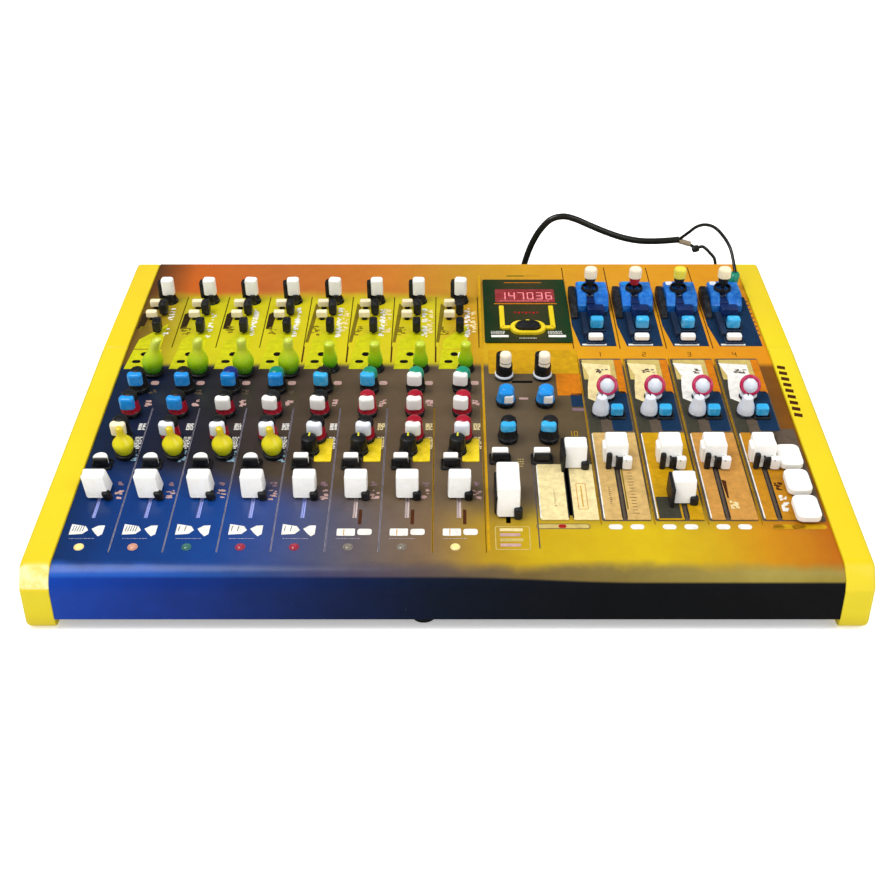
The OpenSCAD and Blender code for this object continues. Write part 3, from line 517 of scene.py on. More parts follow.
def inset(points, d):
    """The outline moved inwards by d along each corner's bisector. The outline runs anticlockwise."""
    result = []
    count = len(points)
    for k in range(count):
        a, b, c = (Vector(points[i % count]) for i in (k - 1, k, k + 1))
        before, after = (b - a).normalized(), (c - b).normalized()
        bisector = Vector((-(before.y + after.y), before.x + after.x)).normalized()
        reach = d / max(0.35, bisector.dot(Vector((-after.y, after.x))))
        result.append(tuple(b + bisector * reach))
    return result


def loft(points, levels, look, axis="z"):
    """A solid through the outline at each (inset, height) level, along z or along x."""
    rings = []
    for d, at in levels:
        outline = inset(points, d) if d else points
        rings.append([(p[0], p[1], at) if axis == "z" else (at, p[0], p[1]) for p in outline])
    return skin(rings, look)


def rounded(w, l, r, steps=5):
    """Anticlockwise outline of a rounded rectangle."""
    points = []
    for cx, cy, start in ((1, 1, 0), (-1, 1, 90), (-1, -1, 180), (1, -1, 270)):
        for k in range(steps + 1):
            a = math.radians(start + 90 * k / steps)
            points.append((cx * (w / 2 - r) + r * math.cos(a), cy * (l / 2 - r) + r * math.sin(a)))
    return points


def round_levels(low, high, edge, foot=0.0):
    """Levels of a block whose upper edge is rounded by edge and lower edge by foot."""
    down = [(foot, low), (0, low + foot)] if foot else [(0, low)]
    return down + [(edge * (1 - math.cos(a)), high - edge * (1 - math.sin(a)))
                   for a in turn_steps(5, 0.0, math.pi / 2 * 5 / 4)]


def block(w, l, low, high, look, r=1.0, edge=0.5, foot=0.0, x=0.0, y=0.0):
    """A rounded block whose middle stands at x, y."""
    return shift(loft(rounded(w, l, max(r, edge + 0.05)), round_levels(low, high, edge, foot), look), x, y)


def dished(w, l, low, high, look, r=1.5, edge=0.6, dish=0.5):
    """A key top: rounded edge and a shallow dish in the middle."""
    levels = round_levels(low, high, edge)
    reach = min(w, l) / 2
    for share in (0.35, 0.6, 0.8):
        levels.append((edge + (reach - edge) * share * 0.5, high - dish * share))
    return loft(rounded(w, l, max(r, reach * 0.55)), levels, look)


def moved(shape, matrix):
    return [([tuple(matrix @ Vector(v)) for v in verts], faces, look) for verts, faces, look in shape]


def shift(shape, x=0.0, y=0.0, z=0.0):
    return moved(shape, Matrix.Translation((x, y, z)))


def spin(shape, angle, axis="Z"):
    return moved(shape, Matrix.Rotation(angle, 4, axis))


def lean(shape, x):
    """The shape sheared sideways: x is how far a point moves for each mm of height."""
    return [([(a + x * c, b, c) for a, b, c in verts], faces, look) for verts, faces, look in shape]


class Piece:
    """One visible object, collected from shapes."""

    def __init__(self, name):
        self.name, self.verts, self.faces, self.index, self.looks = name, [], [], [], []

    def add(self, shape, matrix):
        for verts, faces, look in shape:
            start = len(self.verts)
            self.verts += [matrix @ Vector(v) for v in verts]
            if look not in self.looks:
                self.looks.append(look)
            self.faces += [[start + i for i in face] for face in faces]
            self.index += [self.looks.index(look)] * len(faces)

    def finish(self, body, slot, *nodes):
        mesh = bpy.data.meshes.new(self.name)
        mesh.from_pydata([tuple(v) for v in self.verts], [], self.faces)
        for look in self.looks:
            mesh.materials.append(looks[look])
        mesh.polygons.foreach_set("material_index", self.index)
        mesh.update()
        mesh.shade_smooth()
        mesh.set_sharp_from_angle(angle=SHARP)
        made = bpy.data.objects.new(self.name, mesh)
        bpy.context.scene.collection.objects.link(made)
        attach(made, body)
        if nodes:
            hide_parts(*nodes)


# ---------------------------------------------------------------- knobs
# Each takes the knob's height h, in mm.

LIFT = 1.8  # height of a skirt's lower edge above the deck
CAP_GAP = 0.5  # how much lower than its CAD solid a knob is
KNOB_TURN = 0.18  # largest turn of a fixed knob, in radians
SHORT_FROM = 5  # first strip with short green and small black knobs
BROWN_FROM = 6  # first strip on the brown part of the deck
UPPER_ROW = 120  # master knobs further up than this are the blue ones
LIME_LEAN = [6.0, 2.4, 0.6, 1.0]  # sideways reach of the tall green knobs' tops


def pointer(length, z, look, w):
    return block(w, length, z - 0.3, z + 0.25, look, 0.3, 0.12, y=length / 2 + 0.3)


def tone_knob(h, body, cap, dome="black", reach=0.42):
    """Fluted body with a dark dome behind and a rounded coloured block in front."""
    skirt = lathe([(5.2, LIFT), (5.9, LIFT + 0.3), (5.9, LIFT + 1.2), (5.5, LIFT + 1.6)], "black")
    profile = [(5.5, LIFT + 1.5), (5.4, LIFT + 2), (5.0, h * 0.6), (4.5, h * 0.68), (3.0, h * 0.7)]
    grip = lathe(profile, body, 72, 12, 0.5, (LIFT + 1.9, h * 0.61))
    top = lathe([(3.6, h * 0.6), (4.5, h * 0.66), (4.6, h * 0.78), (4.2, h * 0.9), (3.2, h * 0.97),
                 (1.6, h), (0.3, h + 0.02)], dome)
    front = block(8.6, 5.4, h * reach, h * 0.96, cap, 2.3, 1.5, 0.9, -0.5, -3.1)
    return skirt + grip + shift(top, 0.3, 0.9) + front


def bottle_knob(h, r, top_r, body, lean_x=0.0, bulb=0.3):
    """Tall knob: a bulb that narrows into a slender neck, which may lean to one side."""
    skirt = lathe([(r - 0.8, LIFT), (r, LIFT + 0.2), (r, LIFT + 0.9), (r - 0.6, LIFT + 1.2)], "black")
    steps, segments, neck, dome = 22, 40, 0.72, 0.9
    low = LIFT + 1.0
    rings = []
    for k in range(steps + 1):
        t = k / steps
        wide = r * min(1.0, (0.72 + 0.3 * math.sin(math.pi * min(1, t / bulb) / 2)))
        blend = max(0.0, min(1.0, (t - bulb) / (neck - bulb)))
        width = wide + (top_r - wide) * blend * blend * (3 - 2 * blend)
        if t > dome:
            width = top_r * math.sqrt(max(0.02, 1 - ((t - dome) / (1 - dome)) ** 2))
        rings.append([(lean_x * t * t + x, y, low + (h - low) * t) for x, y in circle(width, segments)])
    return skirt + skin(rings, body)


def trim_knob(_, h):
    """Black stalk under a tall white block cap, with a black wing on its left."""
    stalk = lathe([(4.4, LIFT), (4.8, LIFT + 0.4), (4.4, LIFT + 1.6), (3.2, LIFT + 3), (3.0, h * 0.5)],
                  "black")
    cap = block(7.8, 6.4, h * 0.34, h, "white", 2.0, 1.2, 0.5)
    wing = block(3.0, 5.6, h * 0.2, h * 0.86, "black", 1.2, 0.6, 0.0, -5.0, 0.6)
    leg = block(3.4, 2.4, LIFT + 0.2, h * 0.4, "black", 1.0, 0.5, 0.0, 1.2, -3.4)
    return stalk + cap + wing + leg


def ring_knob(_, h):
    """Magenta ring, tilted to the operator, round a white rounded-square cap on a pale stem."""
    stem = lathe([(4.6, LIFT), (5.0, LIFT + 0.4), (4.4, LIFT + 2), (4.2, h * 0.4), (4.6, h * 0.55),
                  (4.0, h * 0.72), (2.2, h * 0.84)], "pale")
    ring = band([(4.0, -0.9), (5.4, -1.3), (6.1, -0.7), (6.3, 0.3), (5.9, 1.2), (5.0, 1.5), (4.2, 1.0),
                 (4.0, -0.9)], "magenta", 48)
    tilt = Matrix.Translation((0, -0.2, h * 0.6)) @ Matrix.Rotation(math.radians(48), 4, "X")
    return stem + moved(ring + block(6.6, 6.6, -1.6, 2.4, "white", 2.3, 1.2), tilt)


def pale_knob(h):
    """Lilac-white bottle: a wide foot and a narrower domed head."""
    profile = [(4.2, LIFT), (4.9, LIFT + 0.3), (5.0, LIFT + 1.4), (4.9, LIFT + 3.2), (4.3, h * 0.55),
               (3.4, h * 0.7), (3.2, h * 0.85), (2.8, h * 0.95), (1.6, h), (0.3, h + 0.02)]
    body = lathe(profile, "pale", 60, 9, 0.3, (LIFT + 0.9, h * 0.6))
    return body + pointer(2.6, h - 0.05, "black", 0.7)


def master_cap(_, h):
    """White domed cap in a black shell that is open to the front, on a pale flange."""
    flange = lathe([(5.2, LIFT), (5.6, LIFT + 0.3), (5.5, LIFT + 1.2), (4.6, LIFT + 1.6)], "pale")
    housing = lathe([(4.8, LIFT + 1.4), (5.0, LIFT + 2), (4.9, h * 0.5), (4.4, h * 0.56)], "black")
    shell = block(8.6, 6.0, h * 0.3, h * 0.93, "black", 2.6, 1.6, 0.0, -0.7, 0.8)
    cap = block(7.0, 7.0, h * 0.3, h, "ivory", 3.0, 2.2, 0.6, 0.5, -0.9)
    seam = block(7.1, 7.1, h * 0.66, h * 0.68, "black", 3.0, 0.05, 0.0, 0.5, -0.9)
    return flange + housing + shell + cap + seam


def small_black_knob(h):
    profile = [(4.3, LIFT), (5.0, LIFT + 0.4), (5.0, LIFT + 1.0), (4.6, LIFT + 1.4), (4.5, h * 0.8),
               (4.1, h * 0.95), (3.0, h), (0.3, h + 0.05)]
    grip = lathe(profile, "black", 60, 12, 0.35, (LIFT + 1.3, h * 0.85))
    return grip + pointer(3.2, h - 0.05, "yellow", 1.0)


def seat_ring():
    """Nut and washer round a knob's bushing, on the deck."""
    washer = lathe([(3.8, 0.02), (5.4, 0.02), (5.4, 0.45), (5.2, 0.55), (3.8, 0.55)], "dark_steel")
    return washer + loft(circle(4.8, 6), [(0, 0.55), (0, 1.35), (0.3, 1.55)], "steel")


# The coloured block and the dome of each strip's three middle knobs
BLOCK_AND_DOME = {
    "blue": [("blue", "black"), ("blue", "black"), ("blue", "navy"), ("blue", "teal"),
             ("cyan", "black"), ("cyan", "teal"), ("white", "teal"), ("white", "teal")],
    "cyan": [("blue", "black"), ("blue", "black"), ("white", "black"), ("white", "black"),
             ("white", "black"), ("white", "crimson"), ("white", "crimson"), ("white", "crimson")],
    "white": [("cream", "black")] + [("pale", "black")] * 5 + [("white", "crimson"), ("pale", "crimson")],
}


def strip_number(x):
    """Channel strip that a place on the deck belongs to, counted from 1."""
    return int((x - STRIP_LEFT) // STRIP_PITCH) + 1


def tone_shape(spot, h):
    row = min(TONE_ROWS, key=lambda name: abs(TONE_ROWS[name] - spot.s))
    number = strip_number(spot.x)
    cap, dome = BLOCK_AND_DOME[row][number - 1]
    body = "black" if row == "blue" or (row == "white" and number < 2) else "crimson"
    return tone_knob(h, body, cap, dome)


def lime_shape(spot, h):
    number = strip_number(spot.x)
    if number < SHORT_FROM:
        return bottle_knob(h, spot.w / 2 - 0.3, 2.9, "bottle_green", LIME_LEAN[number - 1])
    return bottle_knob(h, spot.w / 2 - 0.5, 3.2, "bottle_green", 0.0, 0.2)


def yellow_shape(spot, h):
    if strip_number(spot.x) < SHORT_FROM:
        return bottle_knob(h, spot.w / 2 - 0.3, 2.0, "pear_yellow", -0.8, 0.34)
    return small_black_knob(h)


def master_shape(spot, h):
    if spot.x > COLUMN_LEFT:
        return pale_knob(h)
    if spot.s > UPPER_ROW:
        patch = block(5.6, 2.8, h * 0.4, h * 0.8, "white", 1.3, 0.8, 0.0, 1.0, -4.9)
        return tone_knob(h, "blue", "blue", "blue", 0.3) + patch
    return tone_knob(h, "black", "cyan", "black", 0.6)


KNOBS = [
    ("trim_knobs", "cap_white", trim_knob),
    ("lime_knobs", "knob_lime", lime_shape),
    ("tone_knobs", "knob_crimson", tone_shape),
    ("yellow_knobs", "knob_yellow", yellow_shape),
    ("master_knobs", "knob_blue", master_shape),
    ("trim_knob_1", "cap_white", trim_knob),
    ("lime_knob_1", "knob_lime", lime_shape),
    ("blue_knob_1", "knob_blue", tone_shape),
    ("cyan_knob_1", "knob_crimson", tone_shape),
    ("white_knob_1", "cap_white", tone_shape),
    ("yellow_knob_1", "knob_yellow", yellow_shape),
    ("master_knob_left", "cap_white", master_cap),
    ("master_knob_right", "cap_white", master_cap),
] + [(f"ring_knob_{j}", "knob_magenta", ring_knob) for j in range(1, 5)]


def build_knobs():
    """One piece for each node of knobs. shape_of takes a spot and the knob's height.

    The fixed knobs are each turned a little differently."""
    nuts = Piece("bushing_nuts")
    for node, slot, shape_of in KNOBS:
        fixed = node.endswith("s")
        made = Piece(node + ("_set" if fixed else "_cap"))
        for spot in spots(node):
            turn = rng.uniform(-KNOB_TURN, KNOB_TURN) if fixed else 0.0
            made.add(spin(shape_of(spot, spot.top - CAP_GAP), turn), spot.matrix())
            nuts.add(seat_ring(), spot.matrix())
        made.finish("desk" if fixed else node, slot, node)
    nuts.finish("desk", "track_steel")


# ---------------------------------------------------------------- faders

FRONT_RAKE = 2.6  # how far a handle's front face slopes back
LIP_W, LIP_SLIT, LIP_LOW, LIP_PAST_END = 1.8, 0.25, -2.0, 3.0
HANDLE_LEAN = {1: -0.2, 2: -0.17, 3: -0.11, 4: -0.05, 8: 0.05}  # sideways, per mm of height


def handle_profile(length, low, high):
    """Side outline of a fader handle: raked front face, rounded lips and a shallow finger scoop."""
    half, lip, corner, count = length / 2, 1.5, 6, 10
    back = half - 0.5 - lip
    front = min(FRONT_RAKE, length * 0.24) - back
    points = [(-half, low), (half, low)]

    def lip_arc(middle, start, sweep):
        for k in range(corner):
            a = math.radians(start + sweep * k / (corner - 1))
            points.append((middle + lip * math.cos(a), high - lip + lip * math.sin(a)))

    lip_arc(back, 4, 86)
    for k in range(1, count):
        t = k / count
        y = back - 0.2 - (back - front - 0.4) * t
        points.append((y, high - 0.5 * math.sin(math.pi * t) ** 1.5))
    lip_arc(front, 90, 72)
    return points


def handle_cap(w, length, high):
    half, edge, bevel = w / 2, 1.1, 0.32
    levels = [(edge, -half), (bevel, bevel - half), (0, edge - half), (0, half - edge),
              (bevel, half - bevel), (edge, half)]
    return loft(handle_profile(length, 1.4, high), levels, "white", "x")


def handle(w, length, high):
    """White cap on a black skirt, with a black foot at its lower right corner."""
    skirt = block(w - 2.2, length - 2.5, 0.7, 2.0, "black", 1.6, 0.3)
    foot = block(4.6, 4.6, 0.5, high * 0.38, "black", 1.9, 1.2, 0.0, w / 2 - 0.9, 1.0 - length / 2)
    return handle_cap(w, length, high) + skirt + foot


def arch(w, length, high):
    """White playback cap with a black arch in its front, a dark leg, a white fin and a lobe."""
    skirt = block(w - 2.2, length - 2.5, 0.7, 2.0, "black", 1.6, 0.3)
    opening = block(w * 0.42, 2.8, 0.8, high * 0.56, "black", 1.6, 1.3, 0.0, w * 0.14, -length / 2)
    leg = block(w * 0.26, 3.4, 0.5, high * 0.74, "black", 1.2, 1.0, 0.0, -w * 0.38, 0.2 - length / 2)
    fin = lean(block(w * 0.3, length * 0.5, 0.9, high * 0.8, "white", 1.2, 1.0, x=-w * 0.42), -0.08)
    lobe = block(w * 0.44, 4.2, 1.6, high * 0.6, "white", 1.6, 1.1, 0.0, w * 0.44, -0.4 - length / 2)
    return handle_cap(w, length, high) + skirt + opening + leg + fin + lobe


def build_faders():
    """The handles: playback arches, a wide master with a cover, two with a stick, and leaning ones."""
    for n in FADER_SPOTS:
        cap = FADER_SPOTS[n]
        shape = (arch if 11 <= n <= 14 else handle)(cap.w, cap.l, cap.top)
        made = Piece(f"fader_{n}_handle")
        if n == 9:
            shape += block(2.4, cap.l * 0.8, 1.0, cap.top * 0.7, "black", 1.0, 0.8, x=-cap.w / 2)
        made.add(lean(shape, HANDLE_LEAN[n]) if n in HANDLE_LEAN else shape, cap.matrix())
        if n in (10, 15):
            stick = block(2.0, cap.l + 3, 0.4, cap.top * 0.9, "black", 0.9, 0.7)
            made.add(stick, front_deck.place(cap.x - cap.w / 2 - 0.8, cap.s - 1.5))
        made.add(block(1.5, 4.8, -6.5, 3.4, "steel", 0.5, 0.1), front_deck.place(FADER_X[n], cap.s))
        made.finish(f"fader_{n}", "cap_white", f"fader_{n}")


def build_dust_lips():
    """Soft lips under the deck that close the channel faders' slots and part round each blade. Their pale colour
    and faint glow paint the handles' reflection seen in the slots.
    """
    made = Piece("dust_lips")
    for n in range(1, 9):
        front, rear = (end / MM for end in joint(f"fader_{n}_slide")["range_m"])
        length, middle = rear - front + 2 * LIP_PAST_END, (front + rear) / 2
        # pale glowing lips: painted reflection of the handle, lilac-blue on the blue strips and taupe on the brown
        # ones
        look = "lip_blue" if n < BROWN_FROM else "lip_taupe"
        for side in (-1, 1):
            lip = block(LIP_W, length, LIP_LOW, LIP_LOW + 0.4, look, 0.2, 0.05,
                        0.0, side * (LIP_W + LIP_SLIT) / 2, middle)
            made.add(lip, front_deck.place(FADER_X[n], FADER_SPOTS[n].s))
    made.finish("desk", "part_black")


# ---------------------------------------------------------------- keys and levers

BUTTON_LIFT = 2.2  # height of a key's lower edge above the deck


def key_stem():
    return lathe([(1.45, -5.0), (1.45, BUTTON_LIFT + 0.2)], "black", 20)


def key_top(spot, look, dish=0.4, r=None):
    r = min(spot.w, spot.l) * 0.24 if r is None else r
    return dished(spot.w, spot.l, BUTTON_LIFT, spot.top, look, r, 0.7, dish)


def flash_key(spot):
    """White key with a black bar along its front edge. The left strips' keys are half round."""
    w, l, high = spot.w, spot.l, spot.top
    if strip_number(spot.x) < SHORT_FROM:
        arc = [(w / 2 * math.cos(a), l * (0.7 * math.sin(a) - 0.2)) for a in turn_steps(16, 0.0, math.pi)[1:]]
        outline = [(-w / 2, -l * 0.2), (w / 2, -l * 0.2)] + arc
        top = loft(outline, round_levels(BUTTON_LIFT, high, 0.7), "white")
    else:
        top = block(w, l * 0.7, BUTTON_LIFT, high, "white", 0.9, 0.6, y=l * 0.15)
    return top + block(w, l * 0.34, BUTTON_LIFT - 0.6, high * 0.86, "black", 0.8, 0.5, y=-l * 0.33)


KEYS = [
    ("flash_keys", "flash_buttons", "cap_white",
     lambda spot: flash_key(spot) if spot.s < CREASE else key_top(spot, "white", r=1.2)),
    ("channel_keys", "channel_buttons", "part_black",
     lambda spot: key_top(spot, "black" if spot.l > spot.w else "cream")),
    ("bank_key_caps", "bank_keys", "key_cyan", lambda spot: key_top(spot, "cyan")),
    ("page_key_caps", "page_keys", "cap_white", lambda spot: key_top(spot, "white", 0.5)),
    ("nav_key_cap", "nav_key", "part_black",
     lambda spot: key_top(spot, "black", 0.6, min(spot.w, spot.l) * 0.49)),
]


def build_keys():
    for name, node, slot, shape_of in KEYS:
        made = Piece(name)
        for spot in spots(node):
            made.add(shape_of(spot) + key_stem(), spot.matrix())
        made.finish(node, slot, node)
    rims = Piece("key_surrounds")
    for spot in spots("flash_buttons") + spots("bank_keys"):
        rims.add(surround(spot.w, spot.l, "black" if spot.s < CREASE else "bank_dark"), spot.matrix())
    rims.finish("desk", "part_black")


def surround(w, l, look):
    """A raised rounded frame on the deck, round a key."""
    high = 1.5
    outer, inner = rounded(w + 3.0, l + 3.0, 1.4), rounded(w + 0.9, l + 0.9, 0.9)
    return hollow([(outer, 0.02), (outer, high - 0.4), (inset(outer, 0.4), high), (inset(inner, -0.2), high),
                   (inner, high - 0.3), (inner, 0.02), (outer, 0.02)], look)


LEVER_LOOKS = [("black", "ivory"), ("red", "ivory"), ("black", "sun_yellow"), ("black", "cream")]
BLOCK_W, BLOCK_L, BLOCK_TOP = 20, 29, 10.0
WIDER_THAN_COLLAR = 14  # tells a block from the collar on it


def lever_shape(pivot_h, top, stem, cap):
    barrel = spin(lathe([(2.2, -3.9), (2.35, -3.7), (2.35, 3.7), (2.2, 3.9)], "steel", 32), math.pi / 2, "Y")
    shaft = lathe([(1.65, pivot_h), (1.65, top - 9), (2.4, top - 8.5)], "steel", 24)
    cone = lathe([(1.8, top - 12), (2.8, top - 11.6), (3.6, top - 7.5), (3.2, top - 7)], stem, 32)
    return shift(barrel, z=pivot_h) + shaft + cone + block(8.2, 7.0, top - 7.6, top, cap, 3.2, 2.2, 0.8)


def block_shape(right, back, highlight_look):
    """Blue block with a collar round the origin, a black flank, a dark leg, painted shade on its lower front parts
    and a painted highlight patch on its top. right, back: its corner.
    """
    left, front, top = right - BLOCK_W, back - BLOCK_L, BLOCK_TOP
    side = [(front + 6, 0.05), (back, 0.05), (back, top - 1.5), (back - 1.5, top), (-5.0, top),
            (-7.0, top - 1.0), (front + 7, top - 4.4), (front + 6, top - 5.4)]
    shape = []
    for x0, x1 in ((left, -2.3), (2.3, right)):
        shape += loft(side, [(0.6, x0), (0, x0 + 0.6), (0, x1 - 0.6), (0.6, x1)], "block_blue", "x")
    shape += block(5.6, back - 4.4, 0.05, top - 0.2, "block_blue", 0.8, 0.5, y=(back + 4.4) / 2)
    # lower front parts in the darker copy of the blue: painted shade
    shape += block(5.6, 7.6, 0.05, top - 3.0, "block_navy", 0.8, 0.5, y=-7.8)
    shape += block(11.0, 7.0, 0.05, 5.6, "block_navy", 1.6, 1.0, 0.0, right - 8.6, front + 3.6)
    # painted highlight: a lighter patch at the left rear of the block's top
    shape += block(4.4, 4.6, top - 0.4, top + 0.25, highlight_look, 1.2, 0.2, 0.0, left + 3.6, back - 3.4)
    shape += block(3.9, 26.0, 0.05, 3.9, "bank_dark", 1.3, 0.9, 0.0, left + 3.1, front - 12.6)
    flank = [(-21, 0.05), (11, 0.05), (11, 5.6), (9.6, 6.9), (-6, 6.9), (-17, 3.6), (-21, 1.4)]
    levels = [(0.7, left - 4.6), (0, left - 3.9), (0, left - 0.8), (0.7, left - 0.1)]
    shape += loft(flank, levels, "black", "x")
    collar = [(4.45, 0.06), (5.6, 0.06), (5.7, 1.2), (5.3, 2.3), (4.7, 2.4), (4.45, 1.8), (4.45, 0.06)]
    return shape + band([(r, top + z) for r, z in collar], "black", 40)


def block_corner(pivot):
    """Right rear corner, in local mm, of the block under a lever."""
    for points in islands("lever_blocks"):
        low, high = span([rear_deck.local(p) for p in points])
        if low.x < pivot.x < high.x and high.x - low.x > WIDER_THAN_COLLAR:
            return high
    raise ValueError("no block under the lever")


def build_levers():
    blocks = Piece("lever_block_set")
    for j, (stem, cap) in enumerate(LEVER_LOOKS):
        node = f"lever_{j + 1}"
        pivot = rear_deck.hinge(node + "_tilt")
        at = rear_deck.place(pivot.x, pivot.y)
        made = Piece(node + "_handle")
        made.add(lever_shape(pivot.z, max(spot.top for spot in spots(node)), stem, cap), at)
        made.finish(node, "cap_white", node)
        corner = block_corner(pivot)
        # the painted highlight patch on each block's top is pale on the last two blocks and bright blue on the
        # first two
        blocks.add(block_shape(corner.x - pivot.x, corner.y - pivot.y, "pale" if j > 1 else "blue"), at)
    blocks.finish("desk", "block_blue", "lever_blocks")


# ---------------------------------------------------------------- printing on the deck

INK = 0.06  # thickness of a print
CHEEK_LIFT = 1.5  # how far the cheeks stand above the deck
SEGMENTS = {0: "abcdef", 1: "bc", 2: "abged", 3: "abgcd", 4: "fgbc", 5: "afgcd", 6: "afgedc", 7: "abc",
            8: "abcdefg", 9: "abcdfg"}


class Print:
    """Printed areas on a piece. x counts from a centre line, s up the slope and h from a height, in mm."""

    def __init__(self, piece, x=0.0, h=0.0):
        self.piece, self.x, self.h = piece, x, h

    def lay(self, outline, x, s, look, h, thick):
        levels = [(0, self.h + h + 0.01), (0, self.h + h + thick)]
        self.piece.add(loft(outline, levels, look), place(self.x + x, s))

    def card(self, x0, s0, x1, s1, look, r=0.6, h=0.0, thick=INK):
        """A rounded area between two corners."""
        self.lay(rounded(x1 - x0, s1 - s0, r, 3), (x0 + x1) / 2, (s0 + s1) / 2, look, h, thick)

    def sheet(self, points, look, h=0.0, thick=INK):
        """A polygon given by its corners, anticlockwise."""
        x, s = points[0]
        self.lay([(a - x, b - s) for a, b in points], x, s, look, h, thick)

    def frame(self, x0, s0, x1, s1, look, w, r=1.2, h=0.0):
        """The outline of a rounded area."""
        outer = rounded(x1 - x0, s1 - s0, r)
        inner = inset(outer, w)
        low, high = self.h + h + 0.01, self.h + h + INK
        levels = [(outer, low), (outer, high), (inner, high), (inner, low), (outer, low)]
        self.piece.add(hollow(levels, look), place(self.x + (x0 + x1) / 2, (s0 + s1) / 2))

    def digit(self, number, x, s, tall, look, h=0.0):
        """A seven-segment numeral whose lower left corner is at x, s."""
        wide, bar = tall * 0.5, tall * 0.13
        gap = bar * 0.18
        spans = {"a": (0, tall - bar, wide, tall), "d": (0, 0, wide, bar),
                 "g": (0, (tall - bar) / 2, wide, (tall + bar) / 2),
                 "f": (0, tall / 2, bar, tall), "e": (0, 0, bar, tall / 2),
                 "b": (wide - bar, tall / 2, wide, tall), "c": (wide - bar, 0, wide, tall / 2)}
        for key in SEGMENTS[number]:
            x0, s0, x1, s1 = spans[key]
            self.card(x + x0 + gap, s + s0 + gap, x + x1 - gap, s + s1 - gap, look, bar * 0.3, h)

    def ticks(self, x, s0, s1, count, w, look, bar):
        """A ladder of short lines between two distances, every fifth one longer."""
        for k in range(count):
            s = s0 + (s1 - s0) * k / (count - 1)
            half = w * (1.4 if k % 5 == 0 else 1.0) / 2
            self.card(x - half, s - bar / 2, x + half, s + bar / 2, look, bar * 0.3)

    def scribble(self, x, s, w, l, rows, look, bar=0.55, longest=1.6, h=0.0):
        """Rows of short dashes that stand for a legend, with no lettering."""
        for row in range(rows):
            at = s + l * (row + 0.5) / rows
            x0 = x
            while x0 < x + w - 0.6:
                dash = rng.uniform(0.5, longest)
                self.card(x0, at - bar / 2, min(x0 + dash, x + w), at + bar / 2, look, 0.1, h)
                x0 += dash + rng.uniform(0.25, 0.55)

    def shards(self, x, s, w, l, look, count, h=0.0):
        """A worn printed block: overlapping small slanted flakes that leave gaps."""
        for _ in range(count):
            cx, cs = x + rng.uniform(0.1, 0.9) * w, s + rng.uniform(0.08, 0.92) * l
            a, b = rng.uniform(0.5, 1.5), rng.uniform(0.3, 0.8)
            slant = rng.uniform(-0.5, 0.5)
            corners = [(-a, -b), (a, slant - b), (a * 0.8, b + slant), (-a * 0.9, b)]
            corners = [(max(x, min(x + w, cx + px)), max(s, min(s + l, cs + ps))) for px, ps in corners]
            if corners[1][0] - corners[0][0] > 0.3 and corners[3][1] - corners[0][1] > 0.15:
                self.sheet(corners, look, h, INK + rng.uniform(0.0, 0.03))


def print_strip(ink, number):
    """Everything printed on one channel strip, from its centre line."""
    right = STRIP_PITCH / 2
    pale = "ink_white" if number < BROWN_FROM else "ink_cream"
    ink.card(right - 0.35, 17, right + 0.35, CREASE - 60, "ink_line" if number < 7 else "ink_gold")
    ink.card(right - 0.3, CREASE + 2, right + 0.3, 262, "ink_olive")
    print_lime_field(ink, number)
    ink.shards(7.4, 57, 5.0, 9, "ink_pink", 9)
    ink.shards(7.6, 68, 3.8, 4, "ink_mauve", 5)
    ink.shards(8.4, 139, 4.4, 7, "ink_pink", 12)
    ink.card(7.8, 160.5, 12.6, 164.5, "ink_pink", 1.4)
    ink.shards(8.2, 151, 4.6, 5, "ink_taupe", 8)
    ink.scribble(8.8, 117, 4.0, 6.2, 5, pale, 0.85, 2.4)
    ink.scribble(9.0, 100, 4.0, 11.0, 8, pale, 0.9, 2.4)
    if number < BROWN_FROM:
        ink.sheet([(-9.4, 30.2), (-2.6, 30.8), (-0.2, 33.6), (-2.0, 36.6), (-9.4, 38.2)], pale)
        ink.sheet([(1.4, 34.6), (3.6, 31.4), (5.8, 29.0), (7.7, 30.6), (7.8, 37.2), (4.4, 37.0)], pale)
        count, pitch = (5, 1.3) if number < 3 else (2, 3.2)
        for k in range(count):
            x = k * pitch - 8.4
            ink.sheet([(x, 32.8), (x + 0.35, 32.8), (x + 0.75, 36.8), (x + 0.4, 36.8)], "ink_navy", INK)
    else:
        ink.card(-8.4, 29.4, 1.0, 34.8, "ink_white", 0.7)
        ink.card(2.2, 30.0, 9.6, 34.6, "ink_white", 1.4)
        ink.card(-5.0, 29.8, -4.5, 34.4, "ink_tan", 0.2, INK)
        ink.card(2.1, 38.0, 3.9, 49.5, "ink_brown", 0.5)
    ink.scribble(-8.5, 26.6, 13, 1.4, 1, "ink_line", 0.3)
    if number >= SHORT_FROM:
        ink.card(2.2, 88.6, 11.6, 108.8, "trim_yellow", 0.8, thick=0.5)
        ink.card(-13.8, 184, -12.8, 201, "ink_brown", 0.3)
        ink.sheet([(-13.2, 206), (-11.2, 206), (-7.6, 250), (-10.4, 254)], "ink_olive")
    else:
        ink.shards(8.8, 88, 4.6, 11, "ink_sky", 16)


